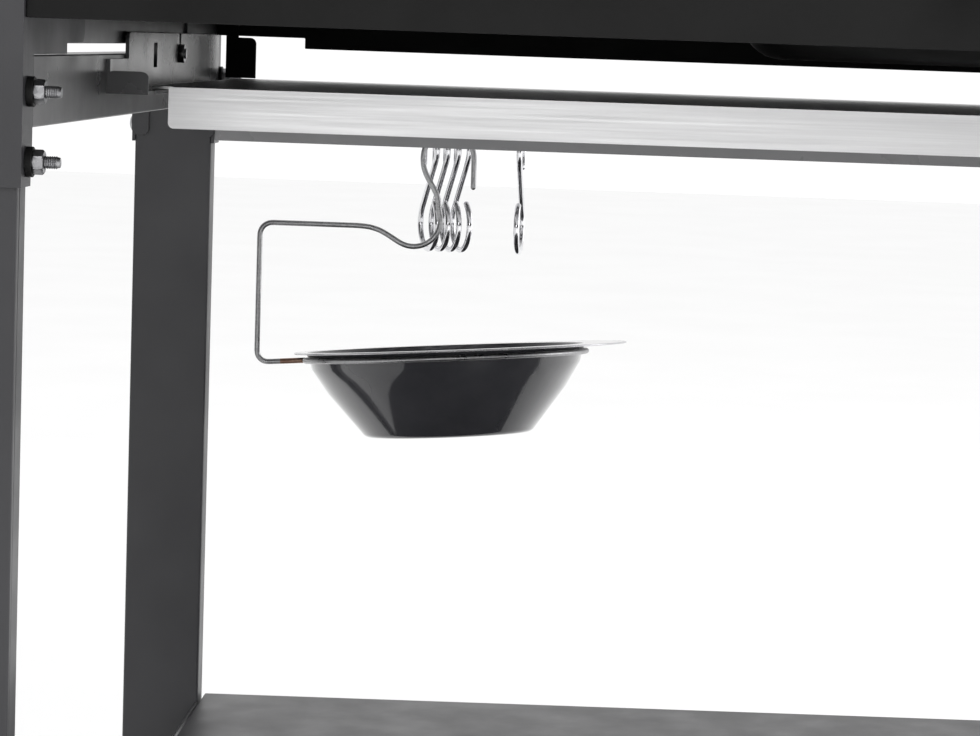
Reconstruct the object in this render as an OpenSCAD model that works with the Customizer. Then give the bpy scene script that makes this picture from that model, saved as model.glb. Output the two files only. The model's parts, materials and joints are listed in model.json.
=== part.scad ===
// Kettle charcoal grill set in a four-legged steel cart, with a stainless slide-out
// shelf, a hook rod and a hanging grease bowl. Millimetres, +Z up, +Y towards the user.

/* [Cart] */
// Width over the legs
cart_w = 990; // [900:10:1200]
// Depth over the legs
cart_d = 647; // [640:1:900]
// Height of the work top
top_h = 860; // [820:5:1040]
// Depth of the body, from the work top down to the frame datum
body_h = 200; // [200:1:240]
// Sheet thickness of panels and brackets
sheet = 2; // [1.5:0.1:3]

/* [Legs] */
// Leg tube width, along X
leg_w = 50; // [40:1:60]
// Leg tube depth, along Y
leg_d = 20; // [18:1:30]
// Leg tube wall
leg_wall = 1.5; // [1.2:0.1:3]
// Height of a plastic foot under a left leg
foot_h = 18; // [12:1:40]
// Reach of the corner sleeves below the frame datum
sleeve_drop = 75; // [70:1:110]
// Reach of the corner sleeves above the frame datum
sleeve_rise = 60; // [40:1:100]
// Width of the sleeve lips on the inner face of a leg
lip_w = 11; // [8:0.5:18]
// Length of the gusset that stiffens each corner
gusset_len = 128; // [80:1:180]

/* [Fasteners] */
// Leg bolt diameter
bolt_d = 6; // [5:0.5:8]
// Hole clearance around a bolt, on the radius
bolt_gap = 0.2; // [0.1:0.05:0.5]
// Upper leg bolt, below the frame datum
bolt_z1 = 31.5; // [25:0.5:40]
// Lower leg bolt, below the frame datum
bolt_z2 = 63.5; // [50:0.5:68]
// How far a bolt stands out past the sleeve
bolt_proud = 15.5; // [12:0.5:22]

/* [Frame rails] */
// Side beam height
beam_h = 33.3; // [25:0.1:40]
// Top of the side beam, below the frame datum
beam_drop = 15; // [12:0.5:18]
// Side beam flange width
beam_flange = 22; // [15:1:30]
// Crossbar height
crossbar_h = 33; // [25:1:40]
// Top of the crossbar, below the frame datum
crossbar_drop = 40; // [39:0.5:45]

/* [Shelf] */
// Shelf top, below the frame datum
shelf_drop = 31.8; // [28:0.1:33]
// Depth of the shelf front
fascia_h = 22; // [18:1:30]
// Shelf corner radius
fascia_r = 3; // [2:0.5:5]
// Side gap from a leg to the shelf
shelf_side = 29.6; // [28:0.1:40]
// Front edge of the shelf behind the front leg faces
shelf_setback = 247; // [200:1:300]
// Running gap around the shelf runners
slide_gap = 0.4; // [0.3:0.05:0.8]

/* [Hooks] */
// Hook rod diameter
rod_d = 6; // [5:0.5:8]
// Rod axis behind the crossbar
rod_reach = 28.5; // [28:0.5:40]
// Hook wire diameter
hook_wire = 4; // [3:0.1:5]
// Overall hook height
hook_h = 85; // [75:1:100]
// Upper hook loop radius, on the wire centre
hook_r1 = 13; // [12:0.5:14]
// Lower hook loop radius, on the wire centre
hook_r2 = 17.5; // [13:0.5:20]
// Pitch of the nested hooks
hook_pitch = 7.2; // [7.2:0.1:12]
// Turn of the nested hooks from square to the rod
hook_yaw = 23; // [0:1:30]

/* [Grease bowl] */
// Distance of the hanger from the cart centre
hanger_x = 290; // [280:1:320]
// Hanger wire diameter
hanger_wire = 3.6; // [3:0.1:4]
// Rim diameter
grease_rim_d = 222; // [215:1:240]
// Offset of the rim from the body axis, which makes a wider lip on one side
grease_rim_off = 10; // [0:1:12]
// Body diameter under the rim
grease_top_d = 184.6; // [170:0.2:190]
// Base diameter
grease_base_d = 117; // [90:1:140]
// Bowl height
grease_h = 58; // [40:1:70]
// Enamelled steel thickness
grease_wall = 1.2; // [1:0.1:2]
// Tilt of the bowl in its hanger
grease_tilt = 4; // [0:0.25:6]
// Lean of the bowl towards the rear edge of its rim
grease_lean = 4.5; // [0:0.25:6]

/* [Kettle] */
// Outer radius of the kettle bowl at its rim
kettle_r = 285; // [230:1:290]
// Depth of the full kettle curve below the rim
kettle_depth = 175; // [150:1:180]
// Height of the lid curve above the rim
lid_rise = 185; // [140:1:240]
// Kettle steel thickness
kettle_wall = 1.6; // [1.2:0.1:3]
// Rim height above the work top
rim_up = 25; // [22:1:40]
// Gap between lid and kettle
lid_gap = 0.4; // [0.3:0.1:1]
// Radius of the flat kettle bottom
kettle_flat_r = 80; // [70:1:100]
// Cooking grate below the rim
cook_drop = 14; // [12:1:20]
// Charcoal grate below the rim
coal_drop = 95; // [80:1:105]
// Grate rod diameter
grate_rod = 5; // [4:0.5:6]
// Pitch of the cooking grate rods
cook_pitch = 20; // [16:1:30]
// Pitch of the charcoal grate rods
coal_pitch = 28; // [22:1:40]

/* [Ash] */
// Ash pan radius
pan_r = 110; // [90:1:130]
// Ash pan depth
pan_h = 28; // [20:1:32]
// Ash pan bottom, below the frame datum
pan_drop = 6; // [0:0.5:8]
// Sweeper shaft diameter
shaft_d = 10; // [8:0.5:14]
// Running clearance of shafts and axles, on the radius
run_gap = 0.05; // [0.02:0.01:0.1]
// Swing of the ash lever to each side
lever_swing = 16; // [8:1:18]

/* [Wheels] */
// Wheel radius
wheel_r = 75; // [60:1:100]
// Wheel width
wheel_w = 34; // [24:1:45]
// Tyre thickness
tyre_t = 12; // [8:1:18]
// Axle diameter
axle_d = 10; // [8:0.5:14]

/* [Bottom shelf] */
// Height of the bottom shelf
low_shelf_z = 190; // [150:5:300]
// Depth of its folded edges
low_shelf_lip = 24; // [16:1:40]

/* [Hidden] */
$fn = 64;
CLEAR = 0.3;          // gap between pieces of different bodies
datum = top_h - body_h;
half_w = cart_w / 2;
half_d = cart_d / 2;
in_x = half_w - leg_w;            // inner face of a leg, along X
in_y = half_d - leg_d;            // inner face of a leg, along Y
leg_top = top_h - sheet;
axle_x = half_w - leg_w / 2;
right_leg_z = wheel_r - leg_w / 2;
head_r = bolt_d;
head_h = 3.2;
washer_r = 7;
washer_t = 3.2;
nut_t = 5;
nut_r = 5.8;
cap_len = 6;
tab_len = 83.5;                   // tab of a corner gusset, down to the side beam
wheel_off = 3;                    // gap from a leg to its wheel
cross_y = half_d;                 // outer face of the crossbar
rod_y = cross_y + rod_reach;
hook_top = datum - 62;            // wire centre at the top of a hook
rod_z = hook_top - hook_wire / 2 - CLEAR - rod_d / 2;
peg_r = 3;
peg_head_r = 6;
peg_gap = 1.4;
peg_y = cross_y + peg_gap + hanger_wire / 2;
loop_r = 17;                      // hanger loop, on the wire centre
loop_z = datum - 80;              // centre of the hanger loop
peg_z = loop_z + loop_r - hanger_wire / 2 - CLEAR - peg_r;
ring_r = grease_top_d / 2 + CLEAR - 0.6 + hanger_wire / 2;
ring_drop = 5.5;                  // hanger ring below the bowl rim
bowl_u = 2;                       // grease bowl axis from the peg, along X
bowl_w = -206.6;                  // grease bowl rim, from the datum
rim_z = top_h + rim_up;
flat_t = acos(kettle_flat_r / kettle_r);
kettle_bottom = rim_z - kettle_depth * sin(flat_t);
collar_r = kettle_r + 16;
bead = 4;
cook_r = kettle_r - 16;
cook_z = rim_z - cook_drop;
coal_t = asin(coal_drop / kettle_depth);
coal_r = kettle_r * cos(coal_t) - 9;
coal_z = rim_z - coal_drop;
pan_z = datum - pan_drop;
lever_z = (kettle_bottom + pan_z + pan_h) / 2 + 2;
lever_t = 3;
lever_w = 12;
knob_r = 9;
knob_len = 26;
vent_r = 125;                     // lid vent, from the lid centre
vent_t = acos(vent_r / kettle_r);
vent_z = rim_z + lid_rise * sin(vent_t);
vent_tilt = atan2(lid_rise * cos(vent_t), kettle_r * sin(vent_t));
pad_up = 9;
damper_r = 40;
damper_t = 2;
lid_top = rim_z + lid_rise;
handle_half = 52;
handle_up = 42;
grip_r = 11;
low_rail_h = 30;
hang_y0 = -half_d + 272;          // front end of a shelf hanger's plate
hang_top = 3.5;                   // top of a shelf hanger, below the datum
ledge_w = 22;
stud_y = hang_y0 + 183;
stud_drop = 12;                   // stud axis below the top of the hanger
stud_r = 3;
shelf_half = in_x - shelf_side;
shelf_z = datum - shelf_drop;
shelf_y0 = -half_d + shelf_setback;
shelf_y1 = in_y - 1;
runner_w = 12;
fold_t = 1.5;                     // wall of the shelf sheet, crossbar and ash pan
retainer_x = 8.6;                 // shelf retainer, from the leg's inner face
retainer_w = 19.6;
apron_drop = 11;                  // lower edge of the rear apron, below the datum
apron_end_drop = 4;               // the same beside the legs
panel_drop = 9.7;                 // lower edge of a side panel, below the datum
slot_h = 2 * knob_r + 2;          // height of the slot, which the lever's knob can pass
top_fold = 26;                    // depth of the work top's folded edge
collar_drop = 30;                 // lower edge of the collar, below the work top
collar_h = 38;
rod_len = 680;
bracket_x = 330;                  // end brackets of the hook rod, from the middle
bracket_t = 3;
bracket_r = 6;
nest_off = 13.5;                  // first nested hook, left of the hanger
single_off = 47.4;                // single hook, right of the hanger
single_yaw = -4;
hook_curl = 55;                   // how far the lower loop closes past its side
rim_bead = 3;                     // how far the bead stands out from the kettle
ash_vent_at = 48;                 // ash vents, from the kettle's axis
ash_vent_r = 15;
lug_w = 16;                       // grate lugs
lug_t = 3;
hang_lug_w = 30;                  // lugs that hang the kettle on its collar
hang_lug_t = 2.5;
vent_hole_at = 23;                // holes of the lid vent, from its axis
vent_hole_r = 8;
rivet_r = 3;
skirt_h = 8;                      // lid skirt below the rim
pan_rod_at = pan_r + 9;           // pan rods, from the kettle's axis
pan_rod_r = 2.5;
pan_fillet = 24;
ledge_z = shelf_z - fold_t - slide_gap;
apron_half = in_x - 60;
x_hi = axle_x + wheel_r;
x_lo = -(half_w + sheet + head_h);
y_hi = peg_y + grease_rim_d / 2;
y_lo = -(half_d + wheel_off + wheel_w + cap_len);
centre = [-(x_hi + x_lo) / 2, -(y_hi + y_lo) / 2, 0];

black = "#161617";
dark = "#3a3a3d";
grey = "#8a8b8e";
steel = "#c9cacc";
chrome = "#dcdde0";

// A piece placed so that the origin is on the floor under the middle of the outer box
module place(c) { color(c) translate(centre) children(); }

// A box from its lowest to its highest corner
module block(a, b) { translate(a) cube(b - a); }

// Points along an arc in a plane
function arc(c, r, a0, a1, n) =
    [for (i = [0:n]) let (a = a0 + (a1 - a0) * i / n) [c[0] + r * cos(a), c[1] + r * sin(a)]];

// Direction of a path at one of its points
function heading(path, i) =
    let (v = path[min(i + 1, len(path) - 1)] - path[max(i - 1, 0)]) v / norm(v);

// A round wire bent in the XZ plane
module wire(path, d, sides = 12) {
    n = len(path);
    points = [for (i = [0:n - 1]) let (t = heading(path, i))
        for (k = [0:sides - 1]) let (a = 360 * k / sides, s = d / 2 * cos(a))
            [path[i][0] - s * t[1], d / 2 * sin(a), path[i][1] + s * t[0]]];
    ends = [[for (k = [sides - 1:-1:0]) k], [for (k = [0:sides - 1]) (n - 1) * sides + k]];
    skin = [for (i = [0:n - 2]) for (k = [0:sides - 1])
        let (a = i * sides + k, b = i * sides + (k + 1) % sides)
            for (f = [[a, b, b + sides], [a, b + sides, a + sides]]) f];
    polyhedron(points = points, faces = concat(ends, skin));
}

// A sheet whose outline is drawn in the YZ plane, from x0 inwards along +X
module side_sheet(x0, t) {
    translate([x0, 0, 0]) rotate([90, 0, 90]) linear_extrude(t) children();
}

// A rectangle with rounded corners, from its lowest to its highest corner
module round_rect(a, b, r) {
    translate([a[0] + r, a[1]]) square([b[0] - a[0] - 2 * r, b[1] - a[1]]);
    translate([a[0], a[1] + r]) square([b[0] - a[0], b[1] - a[1] - 2 * r]);
    for (x = [a[0] + r, b[0] - r], y = [a[1] + r, b[1] - r])
        translate([x, y]) circle(r, $fn = 32);
}

// Both bolt axes of one corner, drawn along +X from x = 0
module at_bolts(sx, sy) {
    for (z = [bolt_z1, bolt_z2])
        translate([sx * half_w, sy * (half_d - leg_d / 2), datum - z])
            mirror([sx > 0 ? 1 : 0, 0, 0]) rotate([0, 90, 0]) children();
}

module at_corners() {
    for (sx = [-1, 1], sy = [-1, 1]) at_bolts(sx, sy) children();
}

// ---- Legs and corners ----

module leg(sx, sy, z0) {
    x = sx * (half_w - leg_w / 2);
    y = sy * (half_d - leg_d / 2);
    place(dark) difference() {
        translate([x, y, z0]) linear_extrude(leg_top - z0) difference() {
            square([leg_w, leg_d], center = true);
            square([leg_w - 2 * leg_wall, leg_d - 2 * leg_wall], center = true);
        }
        at_bolts(sx, sy)
            translate([0, 0, -1]) cylinder(r = bolt_d / 2 + bolt_gap, h = leg_w + 2);
        if (sx > 0) translate([axle_x, 0, wheel_r]) rotate([90, 0, 0])
            cylinder(d = axle_d, h = cart_d + 2, center = true);
    }
}

module leg_front_left() leg(-1, -1, foot_h);
module leg_front_right() leg(1, -1, right_leg_z);
module leg_rear_left() leg(-1, 1, foot_h);
module leg_rear_right() leg(1, 1, right_leg_z);

// A sheet sleeve round a leg, with a lip on each side of its inner face and a gusset
module corner(sx, sy) {
    z0 = datum - sleeve_drop;
    z1 = datum + sleeve_rise;
    place(dark) mirror([sx > 0 ? 1 : 0, 0, 0]) mirror([0, sy < 0 ? 1 : 0, 0]) difference() {
        union() {
            difference() {
                block([-half_w - sheet, in_y, z0], [-in_x + sheet, half_d + sheet, z1]);
                block([-half_w, in_y - 1, z0 - 1], [-in_x, half_d, z1 + 1]);
            }
            for (x = [-half_w - sheet, -in_x + sheet - lip_w])
                translate([x, in_y, 0]) rotate([90, 0, 0]) linear_extrude(sheet)
                    union() {
                        round_rect([0, z0 + 4], [lip_w, z0 + 30], 4);
                        translate([0, z0 + 15]) square([lip_w, z1 - z0 - 15]);
                    }
            side_sheet(-in_x, sheet) union() {
                round_rect([in_y - sheet - gusset_len, datum - 9], [in_y, z1 - 20], 6);
                translate([in_y - 20, datum - 9]) square([20, z1 - 20 - datum + 9]);
                translate([in_y - tab_len, datum - beam_drop + CLEAR]) square([tab_len, beam_drop]);
            }
        }
        mirror([0, sy < 0 ? 1 : 0, 0]) at_bolts(-1, sy)
            translate([0, 0, -sheet - 1]) cylinder(r = bolt_d / 2 + bolt_gap, h = leg_w + 10);
    }
}

module corner_front_left() corner(-1, -1);
module corner_front_right() corner(1, -1);
module corner_rear_left() corner(-1, 1);
module corner_rear_right() corner(1, 1);

module leg_bolts() {
    place(grey) at_corners() {
        translate([0, 0, -sheet]) cylinder(d = bolt_d, h = leg_w + 2 * sheet + bolt_proud);
        translate([0, 0, -sheet]) intersection() {
            translate([0, 0, head_r * 1.2 - head_h]) sphere(head_r * 1.2);
            translate([0, 0, -head_h]) cylinder(r = head_r, h = head_h);
        }
    }
}

module leg_washers() {
    place(grey) at_corners() translate([0, 0, leg_w + sheet]) difference() {
        cylinder(r = washer_r, h = washer_t);
        translate([0, 0, -1]) cylinder(r = bolt_d / 2 + bolt_gap, h = washer_t + 2);
    }
}

module leg_nuts() {
    place(grey) at_corners() translate([0, 0, leg_w + sheet + washer_t]) difference() {
        cylinder(r = nut_r, h = nut_t, $fn = 6);
        translate([0, 0, -1]) cylinder(d = bolt_d, h = nut_t + 2);
    }
}

// ---- Frame rails and body panels ----

// An outward-facing channel between the two leg sleeves of one side
module side_beam(sx) {
    z1 = datum - beam_drop;
    z0 = z1 - beam_h;
    y = in_y - sheet;
    place(grey) mirror([sx > 0 ? 1 : 0, 0, 0]) {
        block([-in_x, -y, z0], [-in_x + sheet, y, z1]);
        for (z = [z0, z1 - sheet])
            block([-in_x - beam_flange, -y, z], [-in_x + sheet, y, z + sheet]);
    }
}

module side_beam_left() side_beam(-1);
module side_beam_right() side_beam(1);

module side_panel(sx) {
    place(grey) mirror([sx > 0 ? 1 : 0, 0, 0])
        block([-in_x - sheet, -in_y + sheet, datum - panel_drop], [-in_x, in_y - sheet, leg_top]);
}

module side_panel_left() side_panel(-1);
module side_panel_right() side_panel(1);

// Front panel, with a slot for the ash lever
module front_apron() {
    slot = (half_d + 2) * tan(lever_swing) + lever_w;
    place(black) difference() {
        block([-in_x + sheet, -half_d + 2, datum + 2], [in_x - sheet, -half_d + 2 + sheet, leg_top]);
        block([-slot, -half_d, lever_z + (lever_t - slot_h) / 2],
              [slot, -half_d + 10, lever_z + (lever_t + slot_h) / 2]);
    }
}

// Rear panel, with a shallower edge beside each leg
module rear_apron() {
    place(black) {
        block([-in_x + sheet, in_y, datum - apron_end_drop], [in_x - sheet, in_y + sheet, leg_top]);
        block([-apron_half, in_y, datum - apron_drop], [apron_half, in_y + sheet, leg_top]);
    }
}

module rear_rail() {
    place(black)
        block([-in_x + sheet, in_y + sheet, datum - apron_end_drop],
              [in_x - sheet, half_d - 2, datum + 14]);
}

// Rectangular tube that ties the rear legs and carries the hook rod
module rear_crossbar() {
    z1 = datum - crossbar_drop;
    place(grey) difference() {
        block([-in_x + sheet, in_y, z1 - crossbar_h], [in_x - sheet, cross_y, z1]);
        block([-in_x, in_y + fold_t, z1 - crossbar_h + fold_t], [in_x, cross_y - fold_t, z1 - fold_t]);
        translate([-hanger_x, cross_y + 1, peg_z]) rotate([90, 0, 0])
            cylinder(r = peg_r, h = 8);
    }
}

// Folded sheet top with a round opening for the kettle
module work_top() {
    place(black) difference() {
        block([-half_w - sheet, -half_d - sheet, top_h - top_fold],
              [half_w + sheet, half_d + sheet, top_h]);
        block([-half_w, -half_d, top_h - top_fold - 1], [half_w, half_d, leg_top]);
        translate([0, 0, top_h - 10]) cylinder(r = collar_r, h = 20, $fn = 128);
    }
}

// Collar that lines the opening and carries the kettle on its upper edge
module kettle_collar() {
    place(dark) translate([0, 0, top_h - collar_drop]) difference() {
        cylinder(r = collar_r, h = collar_h, $fn = 128);
        translate([0, 0, -1]) cylinder(r = collar_r - sheet, h = collar_h + 2, $fn = 128);
    }
}

// ---- Slide-out shelf ----

// Sheet hanger inside a side beam: slotted plate, ledge for the shelf and a stop tab
module shelf_hanger(sx) {
    y0 = hang_y0;
    y1 = in_y - sheet - 0.5;
    ear = 58;
    z1 = datum - hang_top;
    z0 = ledge_z - sheet;
    slot_r = stud_r + 0.4;
    place(steel) mirror([sx > 0 ? 1 : 0, 0, 0]) {
        side_sheet(-in_x + sheet, sheet) difference() {
            union() {
                round_rect([y0, z0], [y1, z1], 4);
                translate([y1 - 20, z0]) square([20, z1 - z0]);
                translate([y0 - ear, z0]) square([y1 - y0 + ear, datum - 17.7 - z0]);
            }
            translate([y0 + 84, z1 - 19.5]) square([13, 14]);
            translate([stud_y, z1 - stud_drop]) circle(slot_r, $fn = 32);
            translate([stud_y - slot_r, z1 - stud_drop]) square([2 * slot_r, 2 * stud_drop]);
        }
        block([-in_x + sheet, y0 - ear, z0], [-in_x + sheet + ledge_w, y1, ledge_z]);
        translate([-in_x + sheet, y0 - ear + sheet, 0]) rotate([90, 0, 0]) linear_extrude(sheet)
            union() {
                round_rect([0, z0], [ledge_w, z0 + 12], 4);
                translate([0, z0]) square([ledge_w, 6]);
            }
    }
}

module shelf_hanger_left() shelf_hanger(-1);
module shelf_hanger_right() shelf_hanger(1);

// Shouldered studs in the U slots of the hangers, welded to the side beams
module hanger_studs() {
    place(grey) for (sx = [-1, 1]) mirror([sx > 0 ? 1 : 0, 0, 0])
        translate([-in_x + sheet, stud_y, datum - hang_top - stud_drop]) rotate([0, 90, 0]) {
            cylinder(r = stud_r, h = sheet + 4);
            translate([0, 0, sheet]) cylinder(r = stud_r + 2.5, h = 3);
        }
}

module shelf_retainers() {
    place(black) for (sx = [-1, 1]) mirror([sx > 0 ? 1 : 0, 0, 0])
        translate([-in_x + retainer_x, in_y, 0]) rotate([90, 0, 0]) linear_extrude(sheet)
            union() {
                round_rect([0, shelf_z + slide_gap], [retainer_w, datum - 5], 4);
                translate([0, shelf_z + slide_gap]) square([retainer_w, 12]);
                translate([0, datum - 20]) square([8, 24]);
            }
}

// Folded stainless sheet: flat top, deep front, short side and rear lips, two runners
module stainless_shelf() {
    t = fold_t;
    lip = 7;
    place(steel) difference() {
        union() {
            block([-shelf_half, shelf_y0, shelf_z - t], [shelf_half, shelf_y1, shelf_z]);
            translate([0, shelf_y0 + t, 0]) rotate([90, 0, 0]) linear_extrude(t)
                round_rect([-shelf_half, shelf_z - fascia_h], [shelf_half, shelf_z], fascia_r);
            block([-shelf_half, shelf_y0 + t, shelf_z - fascia_h + fascia_r],
                  [-shelf_half + t, shelf_y0 + 12, shelf_z]);
            block([shelf_half - t, shelf_y0 + t, shelf_z - fascia_h + fascia_r],
                  [shelf_half, shelf_y0 + 12, shelf_z]);
            for (x = [-shelf_half, shelf_half - t])
                block([x, shelf_y0, shelf_z - lip], [x + t, shelf_y1, shelf_z - t]);
            block([-shelf_half, shelf_y1 - t, shelf_z - lip], [shelf_half, shelf_y1, shelf_z - t]);
            for (x = [-shelf_half - runner_w, shelf_half - t])
                block([x, shelf_y0 + 20, shelf_z - t], [x + runner_w + t, shelf_y1, shelf_z]);
        }
    }
}

// ---- Hook rod, hooks and grease bowl ----

module hook_rod() {
    place(chrome) translate([0, rod_y, rod_z]) rotate([0, 90, 0])
        cylinder(d = rod_d, h = rod_len, center = true);
}

module rod_brackets() {
    place(black) for (x = [-bracket_x, 0, bracket_x]) difference() {
        union() {
            block([x - bracket_t / 2, cross_y, rod_z - bracket_r],
                  [x + bracket_t / 2, rod_y, rod_z + bracket_r]);
            translate([x, rod_y, rod_z]) rotate([0, 90, 0])
                cylinder(r = bracket_r, h = bracket_t, center = true);
        }
        translate([x, rod_y, rod_z]) rotate([0, 90, 0])
            cylinder(d = rod_d, h = bracket_t + 2, center = true);
    }
}

module hanger_peg() {
    place(grey) translate([-hanger_x, cross_y - 6, peg_z]) rotate([-90, 0, 0]) {
        cylinder(r = peg_r, h = 6 + 2 * peg_gap + hanger_wire);
        translate([0, 0, 6 + 2 * peg_gap + hanger_wire]) cylinder(r = peg_head_r, h = 1.6);
    }
}

// An S hook in the XZ plane, its upper loop centred on the Z axis below z = 0
function hook_path() =
    let (c1 = -hook_r1, c2 = -(hook_h - hook_wire - hook_r2),
         lean = asin((hook_r1 + hook_r2) / (c1 - c2)))
        concat(
            [[-hook_r1, c1 - 11], [-hook_r1, c1 - 5]],
            arc([0, c1], hook_r1, 180, -lean, 14),
            arc([0, c2], hook_r2, 180 - lean, 360 + hook_curl, 18)
        );

module s_hook(x, yaw) {
    place(chrome) translate([x, rod_y, hook_top]) rotate([0, 0, yaw - 90])
        wire(hook_path(), hook_wire);
}

function nest_x(i) = -hanger_x - nest_off + i * hook_pitch;
module s_hook_1() s_hook(nest_x(0), hook_yaw);
module s_hook_2() s_hook(nest_x(1), hook_yaw);
module s_hook_3() s_hook(nest_x(2), hook_yaw);
module s_hook_4() s_hook(nest_x(3), hook_yaw);
module s_hook_5() s_hook(-hanger_x + single_off, single_yaw);

// The hanger's bends in its own plane, from the peg axis and the datum
function hanger_path() =
    let (c = cos(grease_tilt), s = sin(grease_tilt),
         weld = hanger_wire / 2 + 0.05,
         rx = bowl_u - ring_r * c + ring_drop * s, rz = bowl_w - ring_r * s - ring_drop * c,
         foot = [-117.2, rz - (117.2 + rx) * s / c])
        concat(
            [[loop_r, -99], [loop_r, -90]],
            arc([0, -80], loop_r, 0, 180, 14),
            [[-16.6, -86], [-14.5, -92], [-9, -101], [-5.8, -108]],
            arc([-22, -122], 18, 25, -125, 12),
            [[-38, -133.2], [-44, -129.8], [-51, -127.7], [-59, -127.1], [-115.8, -127.1]],
            arc([-116.2, -135.1], 8, 90, 180, 6),
            arc(foot + [0, 7], 7, 180, 270, 6),
            [[rx - weld * c, rz - weld * s]]
        );

// Puts the grease bowl frame at its rim centre, tilted in the hanger
module in_bowl() {
    translate([-hanger_x + bowl_u, peg_y, datum + bowl_w])
        rotate([-grease_lean, -grease_tilt, 0]) children();
}

module bowl_hanger() {
    place(grey) {
        translate([-hanger_x, peg_y, datum]) wire(hanger_path(), hanger_wire);
        in_bowl() translate([0, 0, -ring_drop]) rotate_extrude($fn = 96)
            translate([ring_r, 0]) circle(d = hanger_wire, $fn = 24);
    }
}

// Dished body of revolution with a flat rim set off to one side
module grease_bowl() {
    rt = grease_top_d / 2;
    rb = grease_base_d / 2;
    w = grease_wall;
    fillet = 6;
    place(black) in_bowl() {
        rotate_extrude($fn = 96) polygon(concat(
            [[0, -grease_h]],
            arc([rb - fillet, fillet - grease_h], fillet, -90, -28, 5),
            [[rt - 3, -12], [rt, -w - 1.5], [rt + 0.8, -w], [rt + 1.5, -w], [rt + 1.5, 0],
             [rt + 0.5, 0], [rt - w, -w - 1.5], [rt - 3 - w, -12]],
            arc([rb - fillet, fillet - grease_h], fillet - w, -28, -90, 5),
            [[0, w - grease_h]]
        ));
        translate([0, 0, -w]) linear_extrude(w) difference() {
            translate([grease_rim_off, 0]) circle(d = grease_rim_d, $fn = 96);
            circle(rt + 1, $fn = 96);
        }
    }
}

// ---- Kettle ----

// Half profile of a kettle shell: an ellipse quarter from the rim to angle t1
function shell(r, h, w, t1) = concat(
    [for (i = [0:20]) let (t = t1 * i / 20) [r * cos(t), h * sin(t)]],
    [for (i = [20:-1:0]) let (t = t1 * i / 20) [(r - w) * cos(t), (h - w) * sin(t)]]
);

module kettle_bowl() {
    w = kettle_wall;
    place(black) difference() {
        union() {
            translate([0, 0, rim_z]) mirror([0, 0, 1]) rotate_extrude($fn = 128)
                polygon(shell(kettle_r, kettle_depth, w, flat_t));
            translate([0, 0, kettle_bottom]) cylinder(r = kettle_flat_r + 0.4, h = w);
            translate([0, 0, rim_z - bead]) difference() {
                cylinder(r = kettle_r + rim_bead, h = bead, $fn = 128);
                translate([0, 0, -1]) cylinder(r = kettle_r - w, h = bead + 2, $fn = 128);
            }
        }
        translate([0, 0, kettle_bottom - 5]) cylinder(d = shaft_d + 8, h = 12);
        for (a = [90, 210, 330]) rotate([0, 0, a]) translate([ash_vent_at, 0, kettle_bottom - 5])
            cylinder(r = ash_vent_r, h = 12);
    }
}

// Welded lugs: three hang the kettle on its collar, six carry the grates inside
module kettle_lugs() {
    inner = kettle_r - kettle_wall;
    coal_in = inner * cos(coal_t);
    collar_top = top_h - collar_drop + collar_h;
    place(dark) {
        for (a = [90, 210, 330]) rotate([0, 0, a]) difference() {
            block([kettle_r - 6, -hang_lug_w / 2, collar_top],
                  [collar_r + 3, hang_lug_w / 2, collar_top + hang_lug_t]);
            translate([0, 0, top_h]) cylinder(r = kettle_r - 1.2, h = 20, $fn = 128);
        }
        for (a = [30, 150, 270]) rotate([0, 0, a]) {
            block([cook_r - 10, -lug_w / 2, cook_z - grate_rod / 2 - CLEAR - lug_t],
                  [inner - 0.2, lug_w / 2, cook_z - grate_rod / 2 - CLEAR]);
            block([coal_r - 10, -lug_w / 2, coal_z - grate_rod / 2 - CLEAR - lug_t],
                  [coal_in - 1, lug_w / 2, coal_z - grate_rod / 2 - CLEAR]);
        }
    }
}

// Round grate: an outer band, parallel eight-sided rods and two cross rods
module grate(r, pitch, z) {
    n = floor((r - grate_rod) / pitch);
    rod = grate_rod - 0.6;
    cross = rod - 0.5;
    translate([0, 0, z]) {
        difference() {
            cylinder(r = r + grate_rod / 2, h = grate_rod, center = true, $fn = 96);
            cylinder(r = r - grate_rod / 2, h = grate_rod + 2, center = true, $fn = 96);
        }
        for (i = [-n:n]) let (half = sqrt(r * r - i * i * pitch * pitch))
            translate([i * pitch, 0, 0]) rotate([90, 0, 0])
                cylinder(d = rod, h = 2 * half, center = true, $fn = 8);
        for (y = [-r / 2, r / 2]) translate([0, y, (cross - grate_rod) / 2 + 0.05]) rotate([0, 90, 0])
            cylinder(d = cross, h = 2 * sqrt(r * r - y * y), center = true, $fn = 8);
    }
}

module charcoal_grate() { place(grey) grate(coal_r, coal_pitch, coal_z); }
module cooking_grate() { place(chrome) grate(cook_r, cook_pitch, cook_z); }

module sweeper_bush() {
    place(grey) translate([0, 0, kettle_bottom]) difference() {
        union() {
            translate([0, 0, -6]) cylinder(d = shaft_d + 8, h = 6 + kettle_wall + 2);
            translate([0, 0, -3]) cylinder(d = shaft_d + 16, h = 3);
        }
        translate([0, 0, -10]) cylinder(r = shaft_d / 2 + run_gap, h = 20);
    }
}

// Three blades inside the kettle, their shaft and the lever under it
module ash_sweeper() {
    z = kettle_bottom + kettle_wall + 2 + CLEAR;
    place(steel) {
        translate([0, 0, lever_z]) cylinder(d = shaft_d, h = z + 12 - lever_z);
        translate([0, 0, z]) cylinder(r = 14, h = 12);
        for (a = [30, 150, 270]) rotate([0, 0, a])
            block([10, -1.5, z], [kettle_flat_r - 8, 1.5, z + 16]);
        translate([0, 0, lever_z]) cylinder(r = 12, h = lever_t);
        block([-lever_w / 2, -half_d - 14, lever_z], [lever_w / 2, 0, lever_z + lever_t]);
    }
}

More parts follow.
